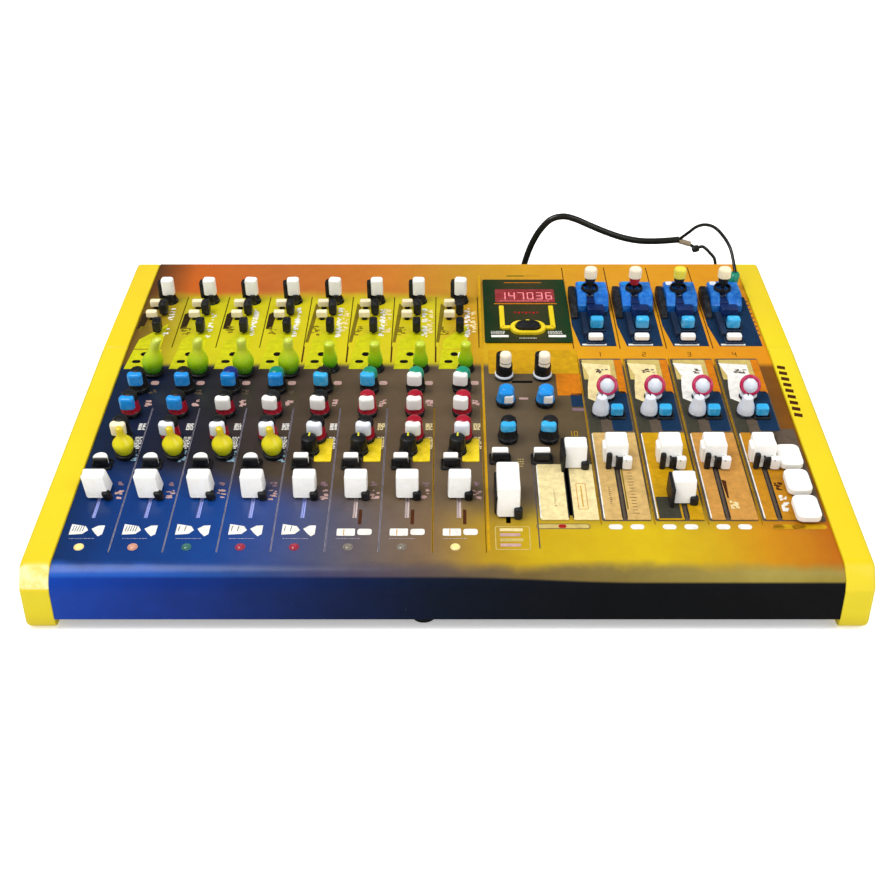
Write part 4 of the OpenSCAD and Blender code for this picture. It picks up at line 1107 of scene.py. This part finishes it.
def print_lime_field(ink, number):
    """The lime field behind a strip's tall knob, with its black ovals and white legends, and on the first strips a
    dark sheet of painted shadow at its left.
    """
    ink.sheet([(-11.5, 177), (4, 177), (8, 184), (8, CREASE - 0.4), (-9.5, CREASE - 0.4)], "ink_lime")
    ink.sheet([(-9.5, CREASE + 0.6), (6.5, CREASE + 0.6), (6.5, 228), (-8.5, 209)], "ink_lime")
    ink.card(-8.0, 183.2, -2.8, 186.4, "ink_black", 1.5, INK)
    ink.card(-4.2, 190.6, 0.4, 194.8, "ink_black", 2.0, INK)
    ink.shards(4.9, 209, 3.6, 42, "ink_white", 46 if number >= 3 else 20)
    ink.shards(-11.5, 214, 6.5, 12, "ink_olive", 14)
    if number >= SHORT_FROM:
        ink.card(0.6, 187, 5.4, 195, "ink_white", 1.8, INK)
        ink.shards(8.0, 215, 4.4, 34, "ink_cream", 24)
    else:
        # painted shadow: a dark brown sheet at the left of the lime field
        ink.sheet([(-12.4, 222), (-8.6, 222), (-7.2, 246), (-12.4, 240)], "ink_shade")


def print_master(ink):
    """Printing round the two master columns."""
    ink.card(MASTER_LEFT - 0.7, 18, MASTER_LEFT + 0.7, 286, "ink_gold")
    edge = STRIP_LEFT + STRIP_PITCH * 9
    ink.card(edge - 0.3, 20, edge + 0.3, 96, "ink_line")
    ink.frame(24.5, 19, 42.5, 36.5, "ink_pale_gold", 0.5)
    for k, look in enumerate(("ink_pink", "ink_pale_gold", "ink_pink", "ink_cream")):
        ink.card(27, 21.4 + 3.8 * k, 37.5 + 1.4 * (k % 2), 23.6 + 3.8 * k, look, 0.4)
    ink.frame(46, 34.5, 74, 38.5, "ink_taupe", 0.4, 1.9)
    ink.card(46.5, 35, 73.5, 38, "ink_pale_gold", 1.4)
    ink.card(57.5, 35.2, 61.5, 37.8, "ink_red", 1.0, INK)
    ink.card(72.5, 139, 83, 152, "ink_navy", 0.5)
    ink.card(72.5, 135, 84, 137.6, "ink_mauve", 0.5)
    ink.digit(1, 68.4, 111.5, 4.6, "ink_gold")
    ink.digit(0, 71.6, 111.5, 4.6, "ink_gold")
    ink.card(25, 172, 80, CREASE - 1, "ink_gold", 1.0)
    ink.card(65, 150, 81, 172.5, "ink_orange", 0.8)
    ink.card(38.5, 162.5, 51, 164.8, "ink_black", 0.5)
    ink.card(42, 146, 47.5, 148, "ink_pink", 0.6)
    ink.scribble(38.8, 84, 3.4, 8, 4, "ink_pale_gold")


def print_column(ink, j):
    """Printing round one playback column: label card, blue field, fader card and marks."""
    ink.card(-12.6, 40.5, 13.2, 188, "ink_taupe", 1.2)
    ink.card(-12.0, 110, -5, 186, "ink_grey", 1.2, INK)
    ink.card(-11.0, 166, 8.5, 186.5, "ink_pale_gold", 0.6, 2 * INK)
    figure = [(-10.4, 147), (-5.0, 143), (-3.6, 150), (-2.6, 158), (5.4, 164), (5.6, 181), (-11.4, 183),
              (-8.0, 170), (-9.6, 158)]
    ink.sheet(figure, "ink_white" if j > 1 else "ink_cream", 3 * INK)
    ink.shards(-3.6, 172, 8, 5, "ink_taupe", 9, 4 * INK)
    ink.card(8.6, 152, 13.0, 186.5, "ink_orange", 0.4, 2 * INK)
    ink.card(1.2, 116, 12.4, 154, "ink_navy", 1.6, 2 * INK)
    ink.card(-13.6, 38, -12.8, 188, "ink_gold", 0.6, INK)
    for x in (-9.6, 1.6):
        ink.card(x, 34.2, x + 7.2, 38.0, "ink_white" if j < 3 else "ink_amber", 1.8)
    ink.digit(j + 1, -1.0, 190.2, 5.0, "ink_black")


def print_playback(piece):
    """Printing behind the playback columns: lever fields, dividers and the strokes down the right side."""
    ink = Print(piece)
    for k in range(9):
        s = 127 + 5.9 * k
        stroke = [(199.2, s + 1.2), (203.8, s), (204.3, s + 3.1), (199.7, s + 4.4)]
        ink.sheet(stroke, "ink_brown", CHEEK_LIFT)
    for j in range(4):
        field = Print(piece, rear_deck.hinge(f"lever_{j + 1}_tilt").x)
        right = 17.0 if j == 3 else 12.6
        field.sheet([(-9.6, 201.6), (right, 201.6), (right, 262), (-13.2, 262), (-13.2, 226)], "ink_navy")
        field.card(-8.6, 202.4, 6.6, 204.2, "ink_white", 0.2, INK)
        field.shards(-6.0, 204.6, 11, 1.6, "ink_cream", 12, INK)
        field.card(-14.6, CREASE + 0.8, -14.0, 302, "ink_brown", 0.1)
    for k in range(9):
        ink.card(195.6, 214 + 5.2 * k, 197.2, 215.6 + 5.2 * k, "ink_taupe", 0.2, INK)
    ink.card(168, 34.0, 196, 38.4, "ink_gold", 1.6)
    ink.frame(168, 34.0, 196, 38.4, "ink_amber", 0.5, 1.9, INK)
    ink.card(40, 289.6, 52, 291.2, "ink_olive", 0.6)
    ink.scribble(53, 289.8, 10, 1.4, 1, "ink_olive")
    ink.card(183.8, 40, 196.8, 118, "ink_taupe", 1.0)


def build_prints():
    strips, masters, columns = (Piece(name + "_printing") for name in ("strip", "master", "column"))
    for n in range(1, 9):
        print_strip(Print(strips, STRIP_LEFT + STRIP_PITCH * (n - 0.5)), n)
    print_master(Print(masters))
    for j in range(4):
        print_column(Print(columns, COLUMN_FIRST + COLUMN_PITCH * j), j)
    print_playback(columns)
    for made in (strips, masters, columns):
        made.finish("desk", "deck_paint")


CARD_LOOK = {10: "ink_cream", 11: "ink_card", 15: "ink_gold", 13: "ink_tan", 14: "ink_amber"}
CARD_H, CARD_THICK = 3 * INK, 0.4  # a card lies on three prints


def build_cards():
    """Printed cards under the playback faders, each with its slot, scale and marks."""
    made = Piece("fader_card_set")
    for points in islands("fader_plates"):
        low, high = span([front_deck.local(p) for p in points])
        for n in CARD_LOOK:
            if low.x < FADER_X[n] < high.x:
                print_card(made, n, low.x - FADER_X[n], high.x - FADER_X[n], low.y, high.y)
    made.finish("desk", "card_cream", "fader_plates")


def print_card(made, n, x0, x1, s0, s1):
    """One fader card. x0 and x1 count from the fader's slot."""
    ink = Print(made, FADER_X[n], CARD_H)
    for a, b in ((x0, -1.3), (1.3, x1)):
        ink.card(a, s0, b, s1, CARD_LOOK[n], 0.5, thick=CARD_THICK)
    for a in (-1.5, 0.9):
        ink.card(a, s0 + 1.5, a + 0.6, s1 - 0.5, "black", 0.2, thick=0.46)
    ink.card(x0 - 0.5, s0 + 1, x0 + 0.1, s1 - 1, "ink_white", 0.2, thick=0.5)
    ink.h += CARD_THICK
    if n == 10:
        ink.scribble(-8.0, s0 + 10, 1.4, 14, 9, "ink_taupe", 0.5)
        ink.frame(4.2, s0 + 8, 9.6, s1 - 16, "ink_tan", 0.4, 0.6)
        ink.card(6.6, s0 + 10, 7.2, s1 - 18, "ink_gold", 0.2)
    elif n == 11:
        ink.ticks(6.2, s0 + 5, s1 - 8, 25, 2.6, "ink_black", 0.3)
        ink.scribble(-6.4, s0 + 12, 1.4, 14, 9, "ink_taupe", 0.5)
        ink.card(2.0, s0 + 8, 2.7, s1 - 26, "ink_olive", 0.2)
    elif n == 15:
        ink.card(x0 + 0.6, s0 + 1, -2.6, s0 + 18, "ink_grey")
    elif n == 13:
        ink.sheet([(2.4, s0 + 17), (3.2, s0 + 17), (4.0, s0 + 31), (1.6, s0 + 32)], "ink_brown")
        ink.shards(3.0, s0 + 8, 4.4, 7, "ink_cream", 12)
    else:
        ink.shards(2.4, s0 + 22, 4.6, 10, "ink_brown", 12)
        ink.shards(2.6, s0 + 6, 5.0, 14, "ink_white", 18)


# ---------------------------------------------------------------- display

def build_display():
    """Dark green panel with lit digits, its yellow frame and the ring round the oval key."""
    low, high = max((span([rear_deck.local(p) for p in points]) for points in islands("display_window")),
                    key=lambda ends: ends[1].y - ends[0].y)
    mid_x, mid_s = (low.x + high.x) / 2, (low.y + high.y) / 2
    top = 1.05
    nav = spots("nav_key")[0]
    made = Piece("display_panel")
    hole = [(x + nav.x - mid_x, y + nav.s - mid_s) for x, y in rounded(nav.w + 0.8, nav.l + 0.8, 4.2, 9)]
    outer = rounded(high.x - low.x, high.y - low.y, 1.6, 9)
    panel = hollow([(outer, 0.05), (outer, top - 0.25), (inset(outer, 0.25), top), (hole, top), (hole, 0.05),
                    (outer, 0.05)], "glass_green")
    made.add(panel, rear_deck.place(mid_x, mid_s))
    ink = Print(made, mid_x, top)
    ink.card(-19.5, 253.5, 19.5, 270.5, "lit_red", 0.8)
    for k in range(6):
        ink.digit((3 * k + 1) % 10, 6.1 * k - 17.1, 257, 9.5, "lit_pink", INK)
    ink.scribble(-16.5, 254.4, 32, 1.6, 1, "lit_pink", 0.5, h=INK)
    ink.card(-20.5, 251.2, 20.5, 252.2, "ink_orange", 0.2)
    ink.card(-13, 279, 12, 279.7, "ink_orange", 0.2)
    for k in range(7):
        ink.card(2.4 * k - 8, 240 - (k % 2), 2.4 * k - 6.6, 241.4, "ink_red", 0.3)
    for x in (low.x + 4 - mid_x, high.x - 15 - mid_x):
        ink.card(x, 210.5, x + 11, 213.0, "ink_white", 0.4)
        ink.scribble(x, 213.8, 9, 4.2, 3, "ink_white", 0.6)
    ink.scribble(-6, 208.6, 11, 1.6, 1, "ink_white", 0.6)
    add_display_frame(made, nav, top)
    made.finish("desk", "window_green", "display_window")


def add_display_frame(made, nav, top):
    """Yellow ring round the oval key, a bar up each side of it and a small tab."""
    outer, inner = rounded(22.5, 14.5, 6.8, 8), rounded(nav.w + 1.2, nav.l + 1.2, 4.6, 8)
    high = top + 2.2
    shape = hollow([(outer, top), (outer, high - 0.6), (inset(outer, 0.5), high), (inset(inner, -0.4), high),
                    (inner, high - 0.4), (inner, top), (outer, top)], "trim_yellow")
    for side in (-1, 1):
        shape += block(3.2, 27, top, top + 1.3, "trim_yellow", 0.7, 0.4, 0.0, side * 16, 13.5)
        shape += block(6.0, 3.2, top, top + 1.3, "trim_yellow", 0.7, 0.4, 0.0, side * 13.6, 0.8)
    shape += block(2.4, 2.2, high, high + 0.5, "trim_yellow", 0.5, 0.2, y=6.0)
    made.add(shape, rear_deck.place(nav.x, nav.s))


# ---------------------------------------------------------------- casing

FACET_TOP, FACET_FOOT = 120, 172  # ends of the flat facet on the nose's arc, in degrees


def cheek_outline():
    """Side outline of a cheek in (y, z) mm: toe, rear corner, two slopes with a fine groove, nose."""
    low, high = (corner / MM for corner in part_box("left_cheek"))
    nose, toe, corner, groove = 13.0, 4.0, 5.0, 0.9
    slope = math.atan2(front_deck.up.z, front_deck.up.y)
    rear_slope = math.atan2(rear_deck.up.z, rear_deck.up.y)
    lift = CHEEK_LIFT / math.cos(slope)
    crease_y, crease_z = crease_point.y / MM, crease_point.z / MM + lift
    back_z = crease_z + (high.y - crease_y) * math.tan(rear_slope)
    nose_z = front_deck.origin.z / MM + lift - nose * (1 - math.sin(slope)) / math.cos(slope)
    points = []

    def arc(y, z, r, degrees):
        for a in map(math.radians, degrees):
            points.append((y + r * math.cos(a), z + r * math.sin(a)))

    arc(low.y + toe, low.z + toe, toe, [180 + 18 * k for k in range(6)])
    points.extend([(high.y, low.z), (high.y, high.z - corner - 0.6)])
    turn = (90 + math.degrees(rear_slope)) / 5
    arc(high.y - corner, back_z - corner - 0.7, corner, [turn * k for k in range(1, 6)])
    points.extend([(crease_y + groove, crease_z + groove * math.tan(rear_slope)),
                   (crease_y, crease_z - groove),
                   (crease_y - groove, crease_z - groove * math.tan(slope))])
    arc(low.y + nose, nose_z, nose, [90 + math.degrees(slope), 104, 112, FACET_TOP, FACET_FOOT, 180])
    return points


def rim_levels(at, r, direction):
    """Levels of a rounded rim that starts at x = at and goes inwards."""
    return [(r * (1 - math.sin(a)), at + direction * r * (1 - math.cos(a)))
            for a in turn_steps(6, 0.0, math.pi / 2 * 6 / 5)]


def build_cheeks():
    soft, crisp = 2.8, 0.8
    for name, side in (("left_cheek", -1), ("right_cheek", 1)):
        low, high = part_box(name)
        left, right = (soft, crisp) if side < 0 else (crisp, soft)
        levels = rim_levels(low.x / MM, left, 1) + rim_levels(high.x / MM, right, -1)[::-1]
        made = Piece(name + "_moulding")
        made.add(loft(cheek_outline(), levels, "cheek_yellow", "x"), FROM_MM)
        for points in islands("screws"):
            mid = sum(points, Vector()) / len(points)
            if low.x <= mid.x <= high.x:
                face = Matrix.Translation(((low if side < 0 else high).x, mid.y, mid.z))
                made.add(screw_well(), face @ Matrix.Rotation(side * math.pi / 2, 4, "Y") @ FROM_MM)
        made.finish("desk", "cheek_yellow", name)


def screw_well():
    """A raised rim round a cross-head screw."""
    rim = band([(3.3, -0.1), (4.6, -0.1), (4.6, 0.02), (4.3, 0.12), (3.6, 0.12), (3.3, -0.1)],
               "cheek_yellow", 32)
    head = lathe([(2.9, -0.05), (2.9, 0.1), (2.5, 0.12), (0.2, 0.12)], "steel", 28)
    cross = block(0.8, 3.6, 0.05, 0.13, "black", 0.3, 0.02) + block(3.6, 0.8, 0.05, 0.135, "black", 0.3, 0.02)
    return rim + head + cross


def build_feet():
    made = Piece("foot_set")
    for points in islands("rubber_feet"):
        low, high = span(points)
        r, tall = (high.x - low.x) / 2 / MM, (high.z - low.z) / MM
        foot = lathe([(r * 0.72, 0.0), (r * 0.86, 0.25), (r * 0.9, 1.2), (r * 0.86, 1.6), (r * 0.94, 2.2),
                      (r * 0.9, 3.0), (r, 3.8), (r, tall)], "rubber", 48)
        made.add(foot, Matrix.Translation(((low.x + high.x) / 2, (low.y + high.y) / 2, low.z)) @ FROM_MM)
    made.finish("desk", "foot_rubber", "rubber_feet")


LAMP_ROW = ["yellow", "pink", "green", "red", "red", "grey", "grey", "yellow"]


def build_lamps():
    """A domed lens in a flat rim for each strip, from left to right."""
    made = Piece("lamp_set")
    found = sorted(islands("status_lamps"), key=lambda points: sum(p.x for p in points) / len(points))
    for points, name in zip(found, LAMP_ROW):
        low, high = span([front_deck.local(p) for p in points])
        look = "lamp_" + name
        lens = lathe([(1.9, 0.04), (1.8, 0.5), (1.3, 0.85), (0.6, 0.98), (0.1, 1.0)], look, 32)
        rim = band([(1.95, 0.03), (2.6, 0.03), (2.5, 0.3), (2.05, 0.34), (1.95, 0.03)],
                   "ink_cream" if name == "yellow" else look, 32)
        made.add(lens + rim, front_deck.place((low.x + high.x) / 2, (low.y + high.y) / 2))
    made.finish("desk", "lamp_lens", "status_lamps")


# ---------------------------------------------------------------- rear panel and cable

SPARE_SOCKET_X, SPARE_SOCKET_Z = 54, 42
JACK_X, JACK_Z = 186, 44
SOCKET_R, SOCKET_LONG = 9.6, 12
JACK_R, JACK_LONG = 3.2, 9
LARGE_R = 6
PLUG_X, PLUG_S, PLUG_LEAN, PLUG_TALL = 186.5, 272, 0.3, 12.5
CABLE_R, THIN_R = 2.2, 1.1


def on_rear(x, z, turn=math.pi):
    """Matrix from mm round a point on the rear face to the row frame. Local z points to the rear."""
    at = Matrix.Translation((x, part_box("base_tray")[1].y, z))
    return at @ Matrix.Rotation(-math.pi / 2, 4, "X") @ Matrix.Rotation(turn, 4, "Z") @ FROM_MM


def build_rear():
    """Socket shells with flanges, rims and contacts, and the power rocker in its frame."""
    made = Piece("socket_set")
    for mount in frame["record"]["mounts"]:
        if mount["kind"] == "bore":
            x, _, z = mount["pos_m"]
            made.add(socket(mount["dims"]["r_mm"], mount["dims"]["length_mm"]), on_rear(x, z))
    made.add(socket(SOCKET_R, SOCKET_LONG), on_rear(SPARE_SOCKET_X * MM, SPARE_SOCKET_Z * MM))
    made.add(socket(JACK_R, JACK_LONG), on_rear(JACK_X * MM, JACK_Z * MM))
    low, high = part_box("power_rocker")
    at = on_rear((low.x + high.x) / 2, (low.z + high.z) / 2)
    outer, inner = rounded(16, 22, 1.2), rounded(11.0, 17.0, 0.8)
    lip = inset(inner, -0.8)
    made.add(hollow([(outer, 0.05), (outer, 1.1), (inset(outer, 0.5), 1.5), (inner, 1.5), (inner, -8.0),
                     (lip, -8.0), (lip, 0.05), (outer, 0.05)], "black"), at)
    made.finish("desk", "part_black", "rear_sockets")
    build_rocker(at)


def socket(r, long):
    """A flanged round socket. Its bore has radius r and is long deep. Large ones have five pins."""
    large = r > LARGE_R
    wide = r * 2 + 7
    tall = wide + (5 if large else 0)
    face, body = 2.05, rounded(wide, tall, 2.5, 8)
    count = len(body)

    def ring(radius, z):
        half_step = math.pi / count
        return [(radius * math.cos(a), radius * math.sin(a), z) for a in turn_steps(count, half_step)]

    flange = ((body, 0.06), (body, 1.6), (inset(body, 0.5), face))
    rings = [[(x, y, z) for x, y in outline] for outline, z in flange]
    rings += [ring(r + 1.4, face), ring(r + 1.2, 2.1), ring(r, face)]
    rings += [ring(r, face - long), ring(0.2, face - long)]
    back = [ring(r + 1.6, 0.06), ring(r + 1.6, -long), ring(0.2, -long)]
    verts, faces, _ = skin(rings, "black", closed=False)[0]
    start = len(verts)
    verts += [v for points in back for v in points]
    for a in (start, start + count):
        for k in range(count):
            n = (k + 1) % count
            faces.append((a + n, a + k, a + count + k, a + count + n))
    faces += [(k, start + k, start + (k + 1) % count, (k + 1) % count) for k in range(count)]
    faces.append(tuple(range(start - 1, start - count - 1, -1)))
    faces.append(tuple(range(start + 2 * count, start + 3 * count)))
    shape = [(verts, faces, "black")]
    pin = lathe([(0.7, 2.0 - long), (0.7, 5.0 - long), (0.3, 5.4 - long)], "steel", 16)
    reach = r * 0.55
    angles = [math.pi * (0.1 + 0.2 * k) for k in range(5)]
    for x, y in [(reach * math.cos(a), reach * math.sin(a)) for a in angles] if large else [(0, 0)]:
        shape += shift(pin, x, y)
    for side in (-1, 1) if large else ():
        screw = lathe([(1.6, face), (1.6, 2.5), (1.2, 2.7), (0.2, 2.7)], "steel", 24)
        shape += shift(screw, side * (wide / 2 - 3), side * (tall / 2 - 3))
    return shape


def build_rocker(at):
    half = 8.0
    profile = [(-half, -2.2), (half, -2.2), (half, 2.0), (half - 0.6, 2.6), (0.6, 1.3), (0, 1.2), (-0.6, 1.3),
               (-half + 0.6, 2.6), (-half, 2.0)]
    cap = loft(profile, [(0.4, -5.1), (0, -4.7), (0, 4.7), (0.4, 5.1)], "red", "x")
    made = Piece("power_rocker_cap")
    made.add(cap + block(0.7, 2.6, 2.0, 2.25, "white", 0.2, 0.05, y=4.6), at)
    made.finish("power_rocker", "rocker_red", "power_rocker")


def tube(points, radius, look, segments=20, spans=10):
    """A smooth tube through the points, as a Catmull-Rom curve."""
    path = []
    padded = [points[0] * 2 - points[1]] + points + [points[-1] * 2 - points[-2]]
    for k in range(1, len(padded) - 2):
        p0, p1, p2, p3 = padded[k - 1:k + 3]
        for t in (step / spans for step in range(spans)):
            path.append(0.5 * ((2 * p1) + (p2 - p0) * t + (2 * p0 - 5 * p1 + 4 * p2 - p3) * t * t
                               + (3 * p1 - p0 - 3 * p2 + p3) * t ** 3))
    path.append(points[-1])
    rings = []
    normal = Vector((0, 0, 1))
    for k, at in enumerate(path):
        ahead = (path[min(k + 1, len(path) - 1)] - path[max(k - 1, 0)]).normalized()
        side = ahead.cross(normal)
        side = side.normalized() if side.length > 1e-4 else Vector((1, 0, 0))
        normal = side.cross(ahead).normalized()
        rings.append([tuple(at + (side * math.cos(a) + normal * math.sin(a)) * radius)
                      for a in turn_steps(segments, 0.0, -2 * math.pi)])
    return skin(rings, look)


def build_cable():
    """Main cable, drop and branch, with their plugs, a beige sleeve at the split and a bead."""
    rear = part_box("base_tray")[1].y / MM
    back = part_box("patch_cable")[1].y / MM - CABLE_R
    x0 = SPARE_SOCKET_X
    join = Vector((164.3, back, 85.5))
    main = [Vector((x0, rear + 24, 42)), Vector((x0, rear + 30, 50))] + [Vector((x, back, z)) for x, z in (
        (54.2, 62), (57.2, 74.6), (61.4, 85.4), (66.7, 94.2), (73.2, 100.5), (81.5, 102.5), (90, 100.5),
        (100.3, 96), (111.9, 91.1), (123.5, 87.1), (135, 84.7), (146.3, 84.2), (157.5, 84.8))] + [join]
    drop = [join] + [Vector((x, back - y, z)) for x, y, z in (
        (171, 0, 82.5), (176.5, 1, 79.8), (181.4, 2, 80.8), (186.8, 3, 76.4), (190.3, 5, 71.7), (191, 7, 60))]
    drop += [Vector((188, rear + 18, 48)), Vector((JACK_X, rear + 15, JACK_Z))]
    plug_top = rear_deck.place(PLUG_X + PLUG_TALL * PLUG_LEAN, PLUG_S, PLUG_TALL).to_translation() / MM
    branch = [join] + [Vector((x, back - y, z)) for x, y, z in (
        (169.6, 5, 92.5), (173.2, 12, 99.1), (177, 22, 104.2), (181.3, 33, 106), (185.3, 44, 103.7),
        (188.3, 53, 99.3), (189.8, 60, 92.9))] + [plug_top]
    sleeve = [join + Vector((-1, 0, -0.6)), join + Vector((3.5, 0, -2.0)), drop[1] + Vector((1.5, 0, -0.4))]
    made = Piece("patch_cable_run")
    made.add(tube(main, CABLE_R, "cable_black") + tube(drop, THIN_R, "cable_black", 14)
             + tube(branch, THIN_R, "cable_black", 14) + tube(sleeve, 1.9, "beige", 20, 5), FROM_MM)
    bead = lathe([(1.2, -2.6), (2.3, -2.0), (2.5, 0), (2.3, 2.0), (1.2, 2.6)], "cable_black", 24)
    bead_at = Matrix.Translation((drop[2] - Vector((0, 0, 0.8))) * MM) @ Matrix.Rotation(1.3, 4, "Y")
    made.add(bead, bead_at @ FROM_MM)
    plug = lathe([(8.6, 3.0), (8.8, 3.4), (8.8, 8), (8.3, 8.4), (8.3, 9.2), (8.8, 9.6), (8.8, 18.4),
                  (8.0, 19.2), (6.2, 19.4), (5.6, 21), (4.0, 27), (2.6, 28.4)], "dark_steel", 48)
    made.add(plug, on_rear(x0 * MM, SPARE_SOCKET_Z * MM, 0.0))
    jack = lathe([(3.4, 2.6), (4.0, 3.0), (4.0, 13), (3.4, 14.4), (2.0, 17), (1.4, 17.6)], "black", 32)
    made.add(jack, on_rear(JACK_X * MM, JACK_Z * MM, 0.0))
    green = lathe([(2.9, -1.0), (2.9, 0.6), (4.6, 0.9), (4.9, 1.4), (4.9, 4), (4.5, 8), (3.7, 11),
                   (2.6, 12.6), (1.5, 13.0)], "teal", 36, 9, 0.3, (3.5, 9))
    made.add(lean(green, PLUG_LEAN), rear_deck.place(PLUG_X, PLUG_S))
    made.finish("desk", "cable_rubber", "patch_cable")


# ---------------------------------------------------------------- carried-over nodes, stage, light, camera

CARRIED_OVER = {
    "top_panel": "deck_paint", "base_tray": "tray", "control_board": "board", "main_board": "board",
    "fader_tracks": "track_black", "pot_bodies": "dark_steel", "switch_bodies": "black",
    "display_module": "black", "screws": "steel"}
FLOOR_HALF, FLOOR_GLOW = 4.0, 0.35


def dress_nodes():
    """Gives the CAD nodes that stay their own materials."""
    for node, look in CARRIED_OVER.items():
        mesh = frame["nodes"][node].data
        mesh.materials.clear()
        mesh.materials.append(looks[look])


def build_stage():
    look = Look("floor_pale")
    tone = look.mix(look.noise(3, 2), rgb("#fbfbfb"), rgb("#ffffff"))
    look.set(Base_Color=tone, Roughness=0.8, Specular_IOR_Level=0.0)
    look.set(Emission_Color=(1, 1, 1, 1), Emission_Strength=FLOOR_GLOW)
    mesh = bpy.data.meshes.new("floor")
    corners = [(x * FLOOR_HALF, y * FLOOR_HALF, 0) for x, y in ((-1, -1), (1, -1), (1, 1), (-1, 1))]
    mesh.from_pydata(corners, [], [(0, 1, 2, 3)])
    mesh.materials.append(look.mat)
    floor = bpy.data.objects.new("floor", mesh)
    bpy.context.scene.collection.objects.link(floor)
    floor.visible_glossy = False


AIM = Vector((0, 0, 0.05))


def area_light(name, at, size, power):
    """A square lamp aimed at the middle of the desk."""
    data = bpy.data.lights.new(name, "AREA")
    data.shape, data.size, data.energy = "SQUARE", size, power
    lamp = bpy.data.objects.new(name, data)
    lamp.location = at
    lamp.rotation_euler = (AIM - Vector(at)).to_track_quat("-Z", "Y").to_euler()
    bpy.context.scene.collection.objects.link(lamp)
    return lamp


def build_light():
    """White to the camera, softer on surfaces and dim in reflections, with three large lamps."""
    world = bpy.data.worlds.new("studio")
    world.use_nodes = True
    tree = world.node_tree
    path = tree.nodes.new("ShaderNodeLightPath")
    on_surface = tree.nodes.new("ShaderNodeMix")
    to_camera = tree.nodes.new("ShaderNodeMix")
    on_surface.inputs["A"].default_value, on_surface.inputs["B"].default_value = 0.62, 0.12
    to_camera.inputs["B"].default_value = 1.0
    tree.links.new(path.outputs["Is Glossy Ray"], on_surface.inputs["Factor"])
    tree.links.new(path.outputs["Is Camera Ray"], to_camera.inputs["Factor"])
    tree.links.new(on_surface.outputs["Result"], to_camera.inputs["A"])
    background = tree.nodes["Background"]
    background.inputs["Color"].default_value = (1, 1, 1, 1)
    tree.links.new(to_camera.outputs["Result"], background.inputs["Strength"])
    bpy.context.scene.world = world
    area_light("key", (-0.6, -0.3, 1.3), 0.7, 12)
    area_light("fill", (0.9, -0.6, 0.9), 0.9, 5)
    area_light("back", (0.2, 1.1, 1.1), 0.9, 6).visible_glossy = False
    bpy.context.scene.view_settings.view_transform = "Standard"


def build_camera():
    data = bpy.data.cameras.new("camera")
    data.sensor_width, data.lens = 36, 49.13
    camera = bpy.data.objects.new("camera", data)
    camera.location = (0.0004, -0.6444, 0.3883)
    camera.rotation_euler = (math.radians(60.2), 0, 0)
    bpy.context.scene.collection.objects.link(camera)
    bpy.context.scene.camera = camera


# ---------------------------------------------------------------- driving places, in mm

BELOW_DECK = 2.0  # a handle's solids reach less deep than this, its blade deeper


def blade_x(n):
    """Where a fader's blade crosses the deck."""
    local = [front_deck.local(v.co) for v in frame["nodes"][f"fader_{n}"].data.vertices]
    xs = [p.x for p in local if p.z < -BELOW_DECK]
    return (min(xs) + max(xs)) / 2


FADER_SPOTS = {n: max(spots(f"fader_{n}"), key=lambda spot: spot.top) for n in range(1, 16)}
FADER_X = {n: blade_x(n) for n in FADER_SPOTS}
STRIP_PITCH = (FADER_X[8] - FADER_X[1]) / 7
STRIP_LEFT = FADER_X[1] - STRIP_PITCH / 2
RING_X = [front_deck.hinge(f"ring_knob_{j}_turn").x for j in (1, 4)]
COLUMN_PITCH = (RING_X[1] - RING_X[0]) / 3
COLUMN_FIRST = RING_X[0] - 0.2
COLUMN_LEFT = COLUMN_FIRST - COLUMN_PITCH / 2
MASTER_LEFT = STRIP_LEFT + STRIP_PITCH * 8 + 1.5
TONE_ROWS = {name: front_deck.hinge(f"{name}_knob_1_turn").y for name in ("blue", "cyan", "white")}

make_looks()
build_knobs()
build_faders()
build_dust_lips()
build_keys()
build_levers()
build_prints()
build_cards()
build_display()
build_cheeks()
build_feet()
build_lamps()
build_rear()
build_cable()
dress_nodes()
build_stage()
build_light()
build_camera()
